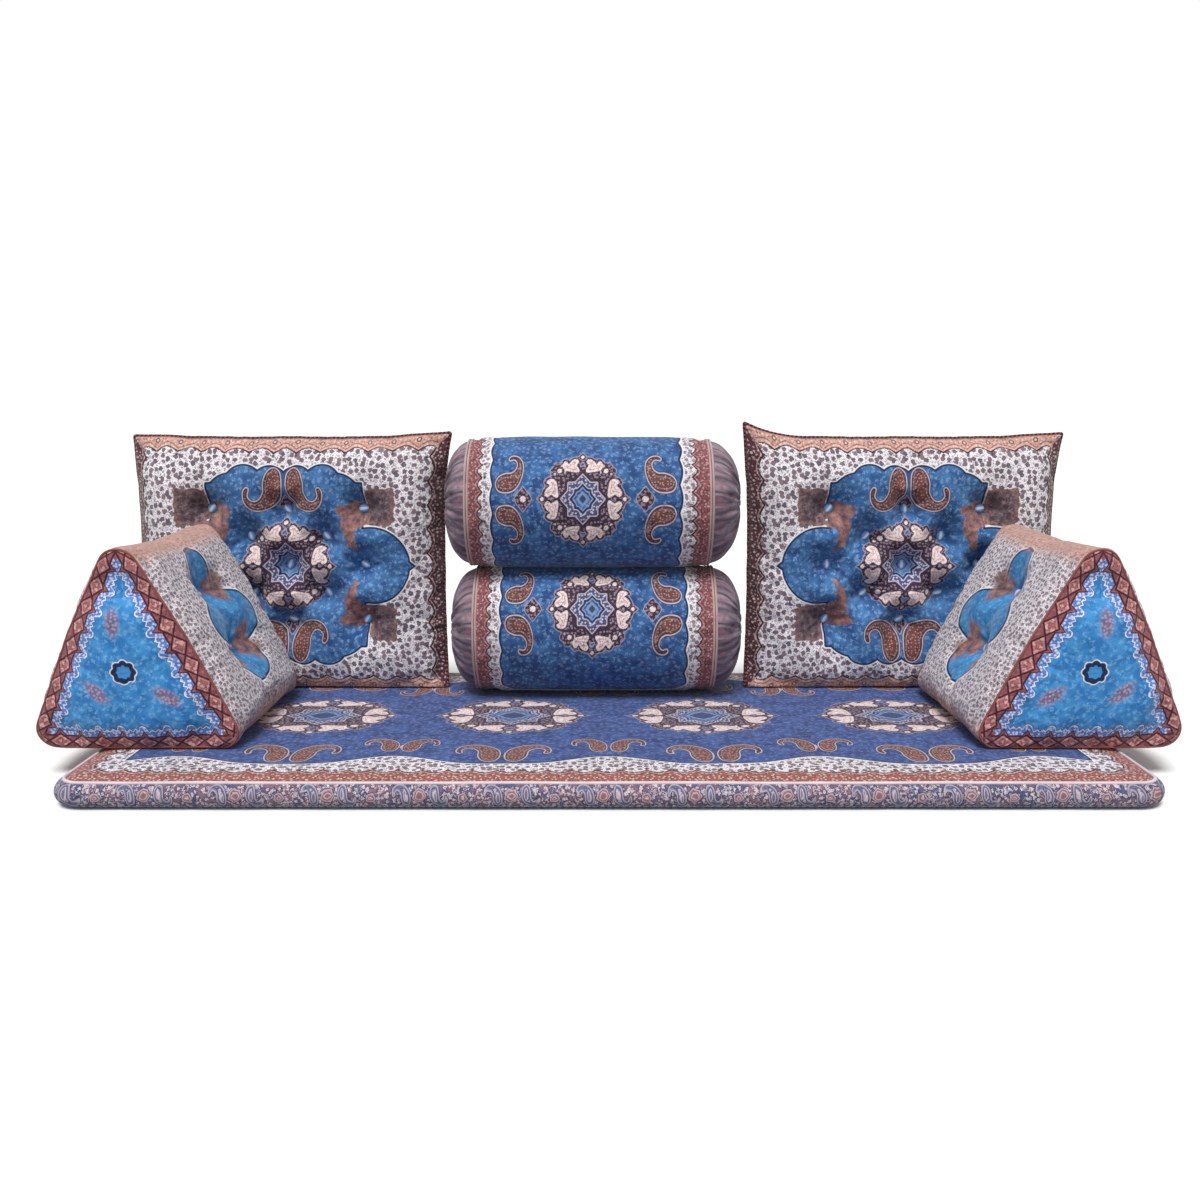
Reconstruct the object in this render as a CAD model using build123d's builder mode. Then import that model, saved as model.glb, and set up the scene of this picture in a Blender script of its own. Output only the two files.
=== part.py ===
from build123d import *
import math
import os

# Majlis floor seating set: a thin floor mattress that carries two tufted back cushions,
# two stacked bolsters and two wedge armrests. Every cushion is a filling inside a sewn cover.
# Millimetres, +Z up, the seat faces -Y. The origin is on the floor under the mattress's middle.

os.makedirs("parts", exist_ok=True)

# Mattress
mattress_length = 2000
mattress_depth = 800
band_height = 50
band_bulge = 25
mattress_crown = 8
crown_run = 70
mattress_corner = 40
panel_wall = 4
mattress_piping_width = 6
mattress_piping_rise = 5

# Covers, fillings and the room between them
cover_wall = 5
fill_gap = 0.3
rest_gap = 0.3
overrun = 5

# Back cushions
cushion_width = 735
cushion_height = 598
cushion_thickness = 178
side_draw = 12
top_draw = 8
cushion_squash = 7
cushion_plane_y = 305
left_cushion_x = -743
right_cushion_x = 690
braid_thickness = 4
braid_reach = 5

# Tufts of the back cushions: rows of three and two buttons in turn
tuft_rows = 5
tuft_row_count = 3
tuft_pitch = 180
tuft_row_pitch = 67
tuft_mouth = 46
tuft_floor = 13
tuft_seat = 40

# Covered buttons and the twine that ties each pair
button_radius = 11.5
button_height = 7
button_face_share = 0.6
button_sides = 8
twine_radius = 1.2
twine_channel = 1.8
twine_sides = 4
lining_sides = 6

# Bolsters
bolster_radius = 149
bolster_taper = 4
bolster_length = 668
bolster_cap = 42
bolster_squash = 3
bolster_y = 232
lower_bolster_x = -26
upper_bolster_x = -34
gather_sides = 20
round_sides = 48
bolster_piping_width = 8
bolster_piping_rise = 4
end_button_radius = 17
end_button_height = 6

# Armrests. Base and height run to the sharp corners that the rounding takes off.
wedge_base = 432
wedge_height = 437
wedge_length = 420
wedge_corner = 30
wedge_belly = 12
wedge_end_crown = 15
wedge_x = 917
wedge_y = -27
wedge_tuft_mouth = 40
wedge_tuft_pull = 34
wedge_upper_tuft_z = 268
wedge_lower_tuft_z = 155
wedge_piping_width = 6
wedge_piping_rise = 4

# Zips
mattress_zip_length = 1500
bolster_zip_length = 440
zip_pocket_depth = 11
zip_tape_width = 24
zip_tape = 1.2
coil_width = 5
coil_rise = 2
zip_stop_length = 4
slider_length = 12
slider_width = 9
slider_wall = 1.2
slider_play = 0.3
slider_lug_length = 4
slider_lug_gap = 4.2
pin_radius = 0.8
pull_play = 0.3
pull_eye = 2
pull_length = 26
pull_width = 7
pull_thickness = 1.4
pull_neck = 3.4
zip_start_share = -0.94

# How far each ring of a crowned form stands out and draws in, from its seam to its top
crown_rise_share = (0.32, 0.6, 0.85, 1)
crown_inset_share = (0.035, 0.13, 0.36, 0.75)
cap_rise_share = (0, 0.35, 0.68, 0.92, 1)
cap_radius_share = (1, 0.95, 0.82, 0.58, 0.15)
band_rise_share = (0.2, 0.4, 0.6, 0.8)
band_bulge_share = (0.75, 1, 1, 0.75)
bolster_crown_share = 0.6
corner_cut_share = 1.5
end_bulge_share = (0, 0.75, 1, 0.75, 0)
end_place_share = (0, 0.2, 0.45, 0.75, 1)

seat_z = band_height + mattress_crown
piping_z = band_height - mattress_piping_width
seam_half = braid_thickness / 2
cushion_z = seat_z + rest_gap - cushion_squash + cushion_height / 2
lower_bolster_z = seat_z + rest_gap - bolster_squash + bolster_radius
upper_bolster_z = lower_bolster_z + 2 * (bolster_radius - bolster_squash) + rest_gap
bolster_seam_x = bolster_length / 2 - bolster_cap
half_side = 180 / gather_sides


def keep(piece, name):
    """Label a finished piece and write it as its own file."""
    piece.part.label = name
    export_step(piece.part, f"parts/{name}.step")


def facing(origin, across, outwards):
    """A plane at a point, with its X across and its normal outwards."""
    return Plane(origin, x_dir=across, z_dir=outwards)


# Shared pieces: zips, buttons, twine and tufts


def zip_pocket(plane, length):
    """The room for a zip: a shallow slot, as deep as the slider and its pull need."""
    with BuildPart() as pocket:
        with BuildSketch(plane.offset(-zip_pocket_depth)):
            Rectangle(length, zip_tape_width)
        extrude(amount=zip_pocket_depth + overrun)
    return pocket.part


def zip_chain(plane, length, name):
    """Two woven tapes closed by a coil, with a stop sewn across each end."""
    stop_x = (length - zip_stop_length) / 2
    with BuildPart() as chain:
        with BuildSketch(plane.offset(-zip_pocket_depth)):
            Rectangle(length, zip_tape_width)
        extrude(amount=zip_tape)
        with BuildSketch(plane.offset(zip_tape - zip_pocket_depth)):
            Rectangle(length, coil_width)
            with Locations((-stop_x, 0), (stop_x, 0)):
                Rectangle(zip_stop_length, slider_width)
        extrude(amount=coil_rise)
    keep(chain, name)


def zip_slider(plane, start, name):
    """A slider that straddles the coil, with two lugs and the pin that its pull swings on."""
    base = plane.offset(zip_tape + slider_play - zip_pocket_depth)
    body_height = coil_rise + slider_play + slider_wall
    pin_height = body_height + pull_eye + pull_play
    pin_start = base.from_local_coords((start, -slider_width / 2, pin_height))
    with BuildPart() as slider:
        with BuildSketch(base):
            with Locations((start, 0)):
                Rectangle(slider_length, slider_width)
        extrude(amount=body_height)
        with BuildSketch(base):
            with Locations((start, 0)):
                Rectangle(slider_length, coil_width + 2 * slider_play)
        extrude(amount=coil_rise, mode=Mode.SUBTRACT)
        with BuildSketch(base.offset(body_height)):
            with Locations((start, 0)):
                Rectangle(slider_lug_length, slider_width)
                Rectangle(slider_lug_length, slider_lug_gap, mode=Mode.SUBTRACT)
        extrude(amount=pull_eye + pull_play + 2 * pin_radius)
        with BuildSketch(facing(pin_start, plane.x_dir, plane.y_dir)):
            Circle(pin_radius)
        extrude(amount=slider_width)
    keep(slider, name)


def zip_pull(plane, start, name):
    """A flat pull whose eye turns on the slider's pin. At rest it lies along the zip."""
    base = plane.offset(zip_tape + slider_play - zip_pocket_depth)
    pin_height = coil_rise + slider_play + slider_wall + pull_eye + pull_play
    eye_start = base.from_local_coords((start, -pull_neck / 2, pin_height))
    with BuildPart() as pull:
        with BuildSketch(facing(eye_start, plane.x_dir, plane.y_dir)):
            Circle(pull_eye)
            with Locations((slider_length / 2, 0)):
                Rectangle(slider_length, pull_thickness)
            Circle(pin_radius + pull_play, mode=Mode.SUBTRACT)
        extrude(amount=pull_neck)
        with BuildSketch(base.offset(pin_height - pull_thickness / 2)):
            with Locations((start + slider_length + pull_length / 2, 0)):
                Rectangle(pull_length, pull_width)
        extrude(amount=pull_thickness)
        tips = pull.edges().filter_by(Axis((0, 0, 0), plane.z_dir))
        chamfer(tips.group_by(Axis((0, 0, 0), plane.x_dir))[-1], pull_width / 4)
    keep(pull, name)


def zip_set(plane, length, owner):
    """The three pieces of one zip."""
    start = zip_start_share * length / 2
    zip_chain(plane, length, f"{owner}_zip")
    zip_slider(plane, start, f"{owner}_zip_slider")
    zip_pull(plane, start, f"{owner}_zip_pull")


def faceted_turn(points, sides):
    """A form with flat sides all round: one profile of radii and heights, seen from every side."""
    reach = max(radius for radius, height in points)
    outline = list(points) + [(-radius, height) for radius, height in reversed(points)]
    with BuildPart() as turned:
        for side in range(sides // 2):
            angle = 2 * math.pi * side / sides
            along = (math.cos(angle), math.sin(angle), 0)
            across = (math.sin(angle), -math.cos(angle), 0)
            with BuildSketch(facing((0, 0, 0), along, across)):
                with BuildLine():
                    Polyline(*outline, close=True)
                make_face()
            extrude(amount=reach, both=True, mode=Mode.INTERSECT if side else Mode.ADD)
    return turned.part


def buttons(places, radius, height):
    """Covered buttons, each domed in flat facets on its own plane."""
    dome = faceted_turn(((radius, 0), (radius * button_face_share, height)), button_sides)
    with BuildPart() as group:
        with Locations(*places):
            add(dome)
    return group


def twine_bars(runs, radius, growth):
    """Straight twines, or the channels they run in. Each run is a plane and a length."""
    with BuildPart() as bars:
        for place, length in runs:
            with BuildSketch(place.offset(-growth)):
                RegularPolygon(radius, twine_sides)
            extrude(amount=length + 2 * growth)
    return bars.part


def tuft_pits(seats, mouth, depth, growth):
    """Funnels that the buttons pull into a cushion. Each seat is a plane facing outwards."""
    reach = depth + overrun
    slope = (mouth - tuft_floor) / depth
    profile = ((tuft_floor + growth, -growth), (tuft_floor + slope * reach + 2 * growth, reach))
    pit = faceted_turn(profile, lining_sides if growth else button_sides)
    with BuildPart() as pits:
        with Locations(*seats):
            add(pit)
    return pits.part


# Mattress: cover, filling, piping and the zip along its rear


def slab_profile(length, inset):
    """One way through the mattress: bulging sides, a soft top edge and a flat underside."""
    reach = length / 2 - inset
    band = [
        (reach + band_bulge * out, piping_z * up)
        for out, up in zip(band_bulge_share, band_rise_share)
    ]
    crown = [
        (reach, piping_z),
        (reach, band_height),
        (reach - crown_run / 3, seat_z - mattress_crown / 3 - inset),
        (reach - crown_run, seat_z - inset),
    ]
    side = [(reach, inset)] + band + crown
    return side + [(-out, up) for out, up in reversed(side)]


def slab_form(inset):
    """The mattress, or its inside: its two profiles crossed and its upright corners rounded."""
    with BuildPart() as slab:
        with BuildSketch(Plane.XZ):
            with BuildLine():
                Polyline(*slab_profile(mattress_length, inset), close=True)
            make_face()
        extrude(amount=mattress_depth, both=True)
        with BuildSketch(Plane.YZ):
            with BuildLine():
                Polyline(*slab_profile(mattress_depth, inset), close=True)
            make_face()
        extrude(amount=mattress_length, both=True, mode=Mode.INTERSECT)
        with BuildSketch():
            RectangleRounded(
                mattress_length + 2 * (band_bulge - inset),
                mattress_depth + 2 * (band_bulge - inset),
                mattress_corner,
            )
        extrude(amount=2 * seat_z, mode=Mode.INTERSECT)
    return slab.part


def seam_frame(level, height, reach, inner_reach):
    """A flat ring that follows the mattress's edge."""
    with BuildPart() as ring:
        with BuildSketch(Plane.XY.offset(level)):
            RectangleRounded(
                mattress_length + 2 * reach, mattress_depth + 2 * reach, mattress_corner + reach
            )
            RectangleRounded(
                mattress_length - 2 * inner_reach,
                mattress_depth - 2 * inner_reach,
                mattress_corner - inner_reach,
                mode=Mode.SUBTRACT,
            )
        extrude(amount=height)
    return ring.part


def mattress():
    rear_centre = (0, mattress_depth / 2 + band_bulge, band_height / 2)
    rear = facing(rear_centre, (-1, 0, 0), (0, 1, 0))
    outside = slab_form(0)
    inside = slab_form(panel_wall)
    pocket = zip_pocket(rear, mattress_zip_length)

    wall_and_gap = panel_wall + fill_gap

    with BuildPart() as core:
        add(slab_form(wall_and_gap))
        add(pocket, mode=Mode.SUBTRACT)
        add(
            seam_frame(piping_z, mattress_piping_width, band_bulge, wall_and_gap),
            mode=Mode.SUBTRACT,
        )
    keep(core, "mattress_core")

    with BuildPart() as cover:
        add(outside)
        add(inside, mode=Mode.SUBTRACT)
        add(pocket, mode=Mode.SUBTRACT)
        add(seam_frame(piping_z, mattress_piping_width, band_bulge, panel_wall), mode=Mode.SUBTRACT)

    with BuildPart() as bottom_panel:
        add(cover.part)
        split(bisect_by=Plane.XY.offset(panel_wall), keep=Keep.BOTTOM)
    keep(bottom_panel, "mattress_bottom_panel")

    with BuildPart() as side_band:
        add(cover.part)
        split(bisect_by=Plane.XY.offset(panel_wall), keep=Keep.TOP)
        split(bisect_by=Plane.XY.offset(piping_z), keep=Keep.BOTTOM)
    keep(side_band, "mattress_side_band")

    with BuildPart() as top_panel:
        add(cover.part)
        split(bisect_by=Plane.XY.offset(band_height), keep=Keep.TOP)
    keep(top_panel, "mattress_top_panel")

    with BuildPart() as piping:
        add(seam_frame(piping_z, mattress_piping_width, mattress_piping_rise, panel_wall))
        rim = piping.faces().sort_by(Axis.Z)[-1].outer_wire()
        chamfer(rim.edges(), mattress_piping_width / 3)
    keep(piping, "mattress_top_piping")

    zip_set(rear, mattress_zip_length, "mattress")


# Back cushions: a crowned pillow with a braided seam, tufted through from face to face


def crown_profile(inset, step):
    """The front half of a pillow's section: distances in from its edge, heights above its seam."""
    rings = [
        (cushion_height / 2 * draw_in + inset, cushion_thickness / 2 * rise - inset)
        for draw_in, rise in zip(crown_inset_share[::step], crown_rise_share[::step])
    ]
    return [(inset, seam_half)] + rings


def bowed_side(home, outwards, reach, run, draw):
    """All that lies inwards of one bowed edge: the pillow's section turned about a far axis."""
    bow_radius = (run**2 + draw**2) / (2 * draw)
    axis_reach = reach - draw + bow_radius
    half = crown_profile(0, 1) + [(2 * reach, cushion_thickness / 2)]
    outline = half + [(distance, -height) for distance, height in reversed(half)]
    far_point = home.origin + Vector(*outwards) * axis_reach
    with BuildPart() as side:
        with BuildSketch(facing(home.origin, outwards, Vector(*outwards).cross(home.z_dir))):
            with BuildLine():
                Polyline(
                    *[(axis_reach + bow_radius + distance, height) for distance, height in outline],
                    close=True,
                )
            make_face()
        revolve(axis=Axis(far_point, home.z_dir))
    return side.part


def straight_side(home, across, reach, run, inset):
    """The pillow's section along one way, for its inside, which has flat faces."""
    half = [(reach - distance, height) for distance, height in crown_profile(inset, 2)]
    arch = half + [(-distance, height) for distance, height in reversed(half)]
    outline = arch + [(distance, -height) for distance, height in reversed(arch)]
    with BuildPart() as side:
        with BuildSketch(facing(home.origin, across, Vector(*across).cross(home.z_dir))):
            with BuildLine():
                Polyline(*outline, close=True)
            make_face()
        extrude(amount=run, both=True)
    return side.part


def pillow_outside(home):
    """The whole pillow, flat where it stands."""
    half_width = cushion_width / 2
    half_height = cushion_height / 2
    with BuildPart() as pillow:
        add(bowed_side(home, (1, 0, 0), half_width, half_height, side_draw))
        add(bowed_side(home, (-1, 0, 0), half_width, half_height, side_draw), mode=Mode.INTERSECT)
        add(bowed_side(home, (0, 0, 1), half_height, half_width, top_draw), mode=Mode.INTERSECT)
        add(bowed_side(home, (0, 0, -1), half_height, half_width, top_draw), mode=Mode.INTERSECT)
        split(bisect_by=Plane.XY.offset(seat_z + rest_gap), keep=Keep.TOP)
    return pillow.part


def pillow_inside(home, inset):
    """The room inside the pillow's cover, or the filling that it holds."""
    half_width = cushion_width / 2 - side_draw
    half_height = cushion_height / 2 - top_draw
    with BuildPart() as room:
        add(straight_side(home, (1, 0, 0), half_width, half_height, inset))
        add(straight_side(home, (0, 0, 1), half_height, half_width, inset), mode=Mode.INTERSECT)
        split(bisect_by=Plane.XY.offset(seat_z + rest_gap + inset), keep=Keep.TOP)
    return room.part


def seam_outline(plane, reach):
    """The bowed outline of a back cushion's seam, or of the braid that stands proud of it."""
    half_width = cushion_width / 2 + reach
    half_height = cushion_height / 2 + reach
    with BuildSketch(plane) as outline:
        with BuildLine():
            ThreePointArc(
                (-half_width, -half_height), (0, top_draw - half_height), (half_width, -half_height)
            )
            ThreePointArc(
                (half_width, -half_height), (half_width - side_draw, 0), (half_width, half_height)
            )
            ThreePointArc(
                (half_width, half_height), (0, half_height - top_draw), (-half_width, half_height)
            )
            ThreePointArc(
                (-half_width, half_height), (side_draw - half_width, 0), (-half_width, -half_height)
            )
        make_face()
    return outline.sketch


def tuft_places():
    """Rows of three and two, across and up from the cushion's middle."""
    places = []
    for row in range(tuft_rows):
        count = tuft_row_count - row % 2
        height = (row - (tuft_rows - 1) / 2) * tuft_row_pitch
        places += [((column - (count - 1) / 2) * tuft_pitch, height) for column in range(count)]
    return places


def tuft_seats(face):
    """The planes that one face's buttons sit on, facing outwards."""
    return [
        facing(face.from_local_coords((across, up, tuft_seat)), face.x_dir, face.z_dir)
        for across, up in tuft_places()
    ]


def keep_copies(piece, owner, name, places):
    """The same piece in the left and the right cushion, or on another of a pair."""
    for side, place in places.items():
        with BuildPart() as copy:
            with Locations(place):
                add(piece.part)
        keep(copy, f"{owner}_{side}_{name}")


def back_cushions():
    places = {"left": (left_cushion_x, 0, 0), "right": (right_cushion_x, 0, 0)}
    centre = (0, cushion_plane_y, cushion_z)
    front = facing(centre, (1, 0, 0), (0, -1, 0))
    rear = facing(centre, (-1, 0, 0), (0, 1, 0))
    front_seats = tuft_seats(front)
    rear_seats = tuft_seats(rear)
    seats = front_seats + rear_seats
    mouth_depth = cushion_thickness / 2 - tuft_seat
    runs = [(seat.offset(-2 * tuft_seat), 2 * tuft_seat) for seat in front_seats]
    channels = twine_bars(runs, twine_channel, overrun)

    with BuildPart() as core:
        add(pillow_inside(front, cover_wall + fill_gap))
        add(tuft_pits(seats, tuft_mouth, mouth_depth, cover_wall + fill_gap), mode=Mode.SUBTRACT)
        add(channels, mode=Mode.SUBTRACT)
    keep_copies(core, "back_cushion", "core", places)

    with BuildPart() as cavity:
        add(pillow_inside(front, cover_wall))
        add(tuft_pits(seats, tuft_mouth, mouth_depth, cover_wall), mode=Mode.SUBTRACT)

    with BuildPart() as cover:
        add(pillow_outside(front))
        add(tuft_pits(seats, tuft_mouth, mouth_depth, 0), mode=Mode.SUBTRACT)
        add(cavity.part, mode=Mode.SUBTRACT)
        add(channels, mode=Mode.SUBTRACT)

    for face, name in ((front, "front_panel"), (rear, "back_panel")):
        with BuildPart() as panel:
            add(cover.part)
            split(bisect_by=face.offset(seam_half), keep=Keep.TOP)
        keep_copies(panel, "back_cushion", name, places)

    with BuildPart() as braid:
        extrude(seam_outline(front.offset(-seam_half), braid_reach), amount=braid_thickness)
        with BuildSketch(front.offset(-seam_half)):
            Rectangle(
                cushion_width - 2 * (side_draw + cover_wall),
                cushion_height - 2 * (top_draw + cover_wall),
            )
        extrude(amount=braid_thickness, mode=Mode.SUBTRACT)
        split(bisect_by=Plane.XY.offset(seat_z + rest_gap), keep=Keep.TOP)
    keep_copies(braid, "back_cushion", "edge_braid", places)

    with BuildPart() as twines:
        add(twine_bars(runs, twine_radius, 0))
    keep_copies(twines, "back_cushion", "tuft_twines", places)
    for face_seats, name in ((front_seats, "front_buttons"), (rear_seats, "back_buttons")):
        pair_faces = buttons(face_seats, button_radius, button_height)
        keep_copies(pair_faces, "back_cushion", name, places)


# Bolsters: a wrap round a roll of filling, a gathered cap at each end and a cord along each seam


def bolster_run(reach):
    """A round length of bolster between its seams, a little fuller in the middle."""
    fuller = reach * bolster_crown_share
    profile = (
        (bolster_radius - bolster_taper, -reach),
        (bolster_radius, -fuller),
        (bolster_radius, fuller),
        (bolster_radius - bolster_taper, reach),
    )
    return faceted_turn(profile, round_sides)


def flat_sided_roll(plane, radius, length):
    """A prism round the bolster's axis, as long each way from the plane."""
    with BuildPart() as roll:
        with BuildSketch(plane):
            RegularPolygon(radius, gather_sides, rotation=half_side)
        extrude(amount=length, both=True)
    return roll.part


def gathered_cap(inset):
    """The domed end of a bolster, drawn together in pleats towards its middle."""
    radius = bolster_radius - bolster_taper
    step = 2 if inset else 1
    profile = [
        (radius * share - inset, bolster_cap * rise - (inset if rise else 0))
        for share, rise in zip(cap_radius_share[::step], cap_rise_share[::step])
    ]
    return faceted_turn(profile, gather_sides)


def bolster(which, centre, flat_levels):
    """One bolster. Flat levels are where it rests, or carries the one above."""
    ends = [facing(centre, (0, 1, 0), (1, 0, 0)), facing(centre, (0, -1, 0), (-1, 0, 0))]
    seams = [end.offset(bolster_seam_x) for end in ends]
    rim_radius = bolster_radius - bolster_taper
    wrap_reach = bolster_seam_x - bolster_piping_width
    rear_point = (centre[0], centre[1] + bolster_radius, centre[2])
    zip_plane = facing(rear_point, (-1, 0, 0), (0, 1, 0))
    pocket = zip_pocket(zip_plane, bolster_zip_length)
    name = f"bolster_{which}"

    with BuildPart() as core:
        add(flat_sided_roll(ends[0], rim_radius - cover_wall - fill_gap, bolster_seam_x))
        with Locations(*seams):
            add(gathered_cap(cover_wall + fill_gap))
        add(pocket, mode=Mode.SUBTRACT)
    keep(core, f"{name}_core")

    with BuildPart() as wrap:
        with Locations(ends[0]):
            add(bolster_run(wrap_reach))
        add(flat_sided_roll(ends[0], rim_radius - cover_wall, bolster_length), mode=Mode.SUBTRACT)
        add(pocket, mode=Mode.SUBTRACT)
        for level, side in flat_levels:
            split(bisect_by=Plane.XY.offset(level), keep=side)
    keep(wrap, f"{name}_wrap")

    for seam, side in zip(seams, ("right", "left")):
        with BuildPart() as cap:
            with Locations(seam):
                add(gathered_cap(0))
                add(gathered_cap(cover_wall), mode=Mode.SUBTRACT)
        keep(cap, f"{name}_{side}_end")

    with BuildPart() as piping:
        for seam in seams:
            with BuildSketch(seam.offset(-bolster_piping_width)):
                RegularPolygon(rim_radius + bolster_piping_rise, gather_sides, rotation=half_side)
                RegularPolygon(
                    rim_radius - cover_wall,
                    gather_sides,
                    rotation=half_side,
                    mode=Mode.SUBTRACT,
                )
            extrude(amount=bolster_piping_width)
        for level, side in flat_levels:
            split(bisect_by=Plane.XY.offset(level), keep=side)
    keep(piping, f"{name}_piping")

    caps = [seam.offset(bolster_cap) for seam in seams]
    keep(buttons(caps, end_button_radius, end_button_height), f"{name}_end_buttons")
    zip_set(zip_plane, bolster_zip_length, name)


def bolsters():
    lower_top = lower_bolster_z + bolster_radius - bolster_squash
    bolster(
        "lower",
        (lower_bolster_x, bolster_y, lower_bolster_z),
        ((seat_z + rest_gap, Keep.TOP), (lower_top, Keep.BOTTOM)),
    )
    bolster(
        "upper",
        (upper_bolster_x, bolster_y, upper_bolster_z),
        ((lower_top + rest_gap, Keep.TOP),),
    )


# Armrests: soft wedges, tufted through from slope to slope


def wedge_outline(plane, outset):
    """A triangle with a flat base, full slopes and round corners. Its inside has cut corners."""
    half_base = wedge_base / 2
    slope_length = math.hypot(half_base, wedge_height)
    belly_x = half_base / 2 + wedge_belly * wedge_height / slope_length
    belly_z = wedge_height / 2 + wedge_belly * half_base / slope_length
    with BuildSketch(plane) as outline:
        with BuildLine():
            Polyline(
                (-half_base, 0),
                (half_base, 0),
                (belly_x, belly_z),
                (0, wedge_height),
                (-belly_x, belly_z),
                close=True,
            )
        make_face()
        corners = outline.vertices().group_by(Axis.Y)
        if outset < 0:
            chamfer(corners[0] + corners[-1], wedge_corner * corner_cut_share)
        else:
            fillet(corners[0] + corners[-1], wedge_corner)
        if outset:
            offset(amount=outset, kind=Kind.INTERSECTION, mode=Mode.REPLACE)
    return outline.sketch


def bulging_run(span, start, inset):
    """One way through the wedge: square along its length, with both ends bulging."""
    half_length = wedge_length / 2 - inset
    end = [
        (half_length + wedge_end_crown * out, start + span * along)
        for out, along in zip(end_bulge_share, end_place_share)
    ]
    return end + [(-out, along) for out, along in reversed(end)]


def wedge_form(plane, inset):
    """The whole wedge with its crowned ends, or its inside."""
    with BuildPart() as wedge:
        extrude(wedge_outline(plane, -inset), amount=wedge_length, both=True)
        with BuildSketch(facing(plane.origin, (0, 1, 0), (1, 0, 0))):
            with BuildLine():
                Polyline(*bulging_run(wedge_height, 0, inset), close=True)
            make_face()
        extrude(amount=wedge_base, both=True, mode=Mode.INTERSECT)
        with BuildSketch(facing(plane.origin, (0, 1, 0), (0, 0, -1))):
            with BuildLine():
                Polyline(*bulging_run(wedge_base, -wedge_base / 2, inset), close=True)
            make_face()
        extrude(amount=wedge_height, both=True, mode=Mode.INTERSECT)
    return wedge.part


def wedge_seats(centre, right):
    """Where the two tufts of one slope sit, on planes that face straight out."""
    outwards = (1, 0, 0) if right else (-1, 0, 0)
    seats = []
    for height in (wedge_lower_tuft_z, wedge_upper_tuft_z):
        reach = wedge_base / 2 * (1 - height / wedge_height) + wedge_belly - wedge_tuft_pull
        across = reach if right else -reach
        seats.append(facing((across, centre[1], centre[2] + height), (0, 1, 0), outwards))
    return seats


def armrests():
    places = {"left": (-wedge_x, 0, 0), "right": (wedge_x, 0, 0)}
    centre = (0, wedge_y, seat_z + rest_gap)
    middle = facing(centre, (1, 0, 0), (0, -1, 0))
    right_seats = wedge_seats(centre, True)
    left_seats = wedge_seats(centre, False)
    seats = right_seats + left_seats
    mouth_depth = wedge_tuft_pull + wedge_tuft_mouth / 2
    runs = [(seat.offset(-2 * seat.origin.X), 2 * seat.origin.X) for seat in right_seats]
    channels = twine_bars(runs, twine_channel, overrun)
    half_length = wedge_length / 2

    with BuildPart() as core:
        add(wedge_form(middle, cover_wall + fill_gap))
        add(
            tuft_pits(seats, wedge_tuft_mouth, mouth_depth, cover_wall + fill_gap),
            mode=Mode.SUBTRACT,
        )
        add(channels, mode=Mode.SUBTRACT)
    keep_copies(core, "armrest", "core", places)

    with BuildPart() as cavity:
        add(wedge_form(middle, cover_wall))
        add(tuft_pits(seats, wedge_tuft_mouth, mouth_depth, cover_wall), mode=Mode.SUBTRACT)

    with BuildPart() as cover:
        add(wedge_form(middle, 0))
        add(tuft_pits(seats, wedge_tuft_mouth, mouth_depth, 0), mode=Mode.SUBTRACT)
        add(cavity.part, mode=Mode.SUBTRACT)
        add(channels, mode=Mode.SUBTRACT)

    with BuildPart() as wrap:
        add(cover.part)
        split(bisect_by=middle.offset(half_length - wedge_piping_width), keep=Keep.BOTTOM)
        split(bisect_by=middle.offset(wedge_piping_width - half_length), keep=Keep.TOP)
    keep_copies(wrap, "armrest", "wrap", places)

    for level, side, name in (
        (half_length, Keep.TOP, "front_end"),
        (-half_length, Keep.BOTTOM, "rear_end"),
    ):
        with BuildPart() as end_panel:
            add(cover.part)
            split(bisect_by=middle.offset(level), keep=side)
        keep_copies(end_panel, "armrest", name, places)

    with BuildPart() as piping:
        for level in (half_length - wedge_piping_width, -half_length):
            extrude(wedge_outline(middle.offset(level), wedge_piping_rise), amount=wedge_piping_width)
            extrude(
                wedge_outline(middle.offset(level), -cover_wall),
                amount=wedge_piping_width,
                mode=Mode.SUBTRACT,
            )
        split(bisect_by=Plane.XY.offset(seat_z + rest_gap), keep=Keep.TOP)
    keep_copies(piping, "armrest", "piping", places)

    with BuildPart() as twines:
        add(twine_bars(runs, twine_radius, 0))
    keep_copies(twines, "armrest", "tuft_twines", places)
    keep_copies(buttons(seats, button_radius, button_height), "armrest", "buttons", places)


mattress()
back_cushions()
bolsters()
armrests()
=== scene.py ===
import math
import bmesh
import bpy
import numpy as np
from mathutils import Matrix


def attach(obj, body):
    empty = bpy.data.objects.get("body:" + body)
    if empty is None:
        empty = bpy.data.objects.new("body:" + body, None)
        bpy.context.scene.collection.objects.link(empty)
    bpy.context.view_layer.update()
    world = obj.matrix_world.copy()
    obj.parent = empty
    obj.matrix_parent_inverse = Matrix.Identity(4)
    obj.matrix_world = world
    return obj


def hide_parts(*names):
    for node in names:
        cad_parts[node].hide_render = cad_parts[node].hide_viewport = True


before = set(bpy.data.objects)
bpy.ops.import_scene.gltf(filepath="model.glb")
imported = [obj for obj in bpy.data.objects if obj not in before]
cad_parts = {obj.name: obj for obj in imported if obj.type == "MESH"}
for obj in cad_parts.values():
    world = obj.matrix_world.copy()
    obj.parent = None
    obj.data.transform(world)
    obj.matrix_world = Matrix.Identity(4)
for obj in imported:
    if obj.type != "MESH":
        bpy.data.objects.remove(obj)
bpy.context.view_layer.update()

# A majlis seating set in printed velvet. Sizes are in millimetres until a mesh is made.
MM = 0.001
COARSE = 8.5  # spacing of a cover's points before it is refined
SEAT_GAP = 0.3  # between a loose piece and the mattress
SEAT_CLEAR = 0.6  # the lowest that a loose cover's points come above it
KNOT_REACH = 9  # the cloth round a tuft that its knot holds still

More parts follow.
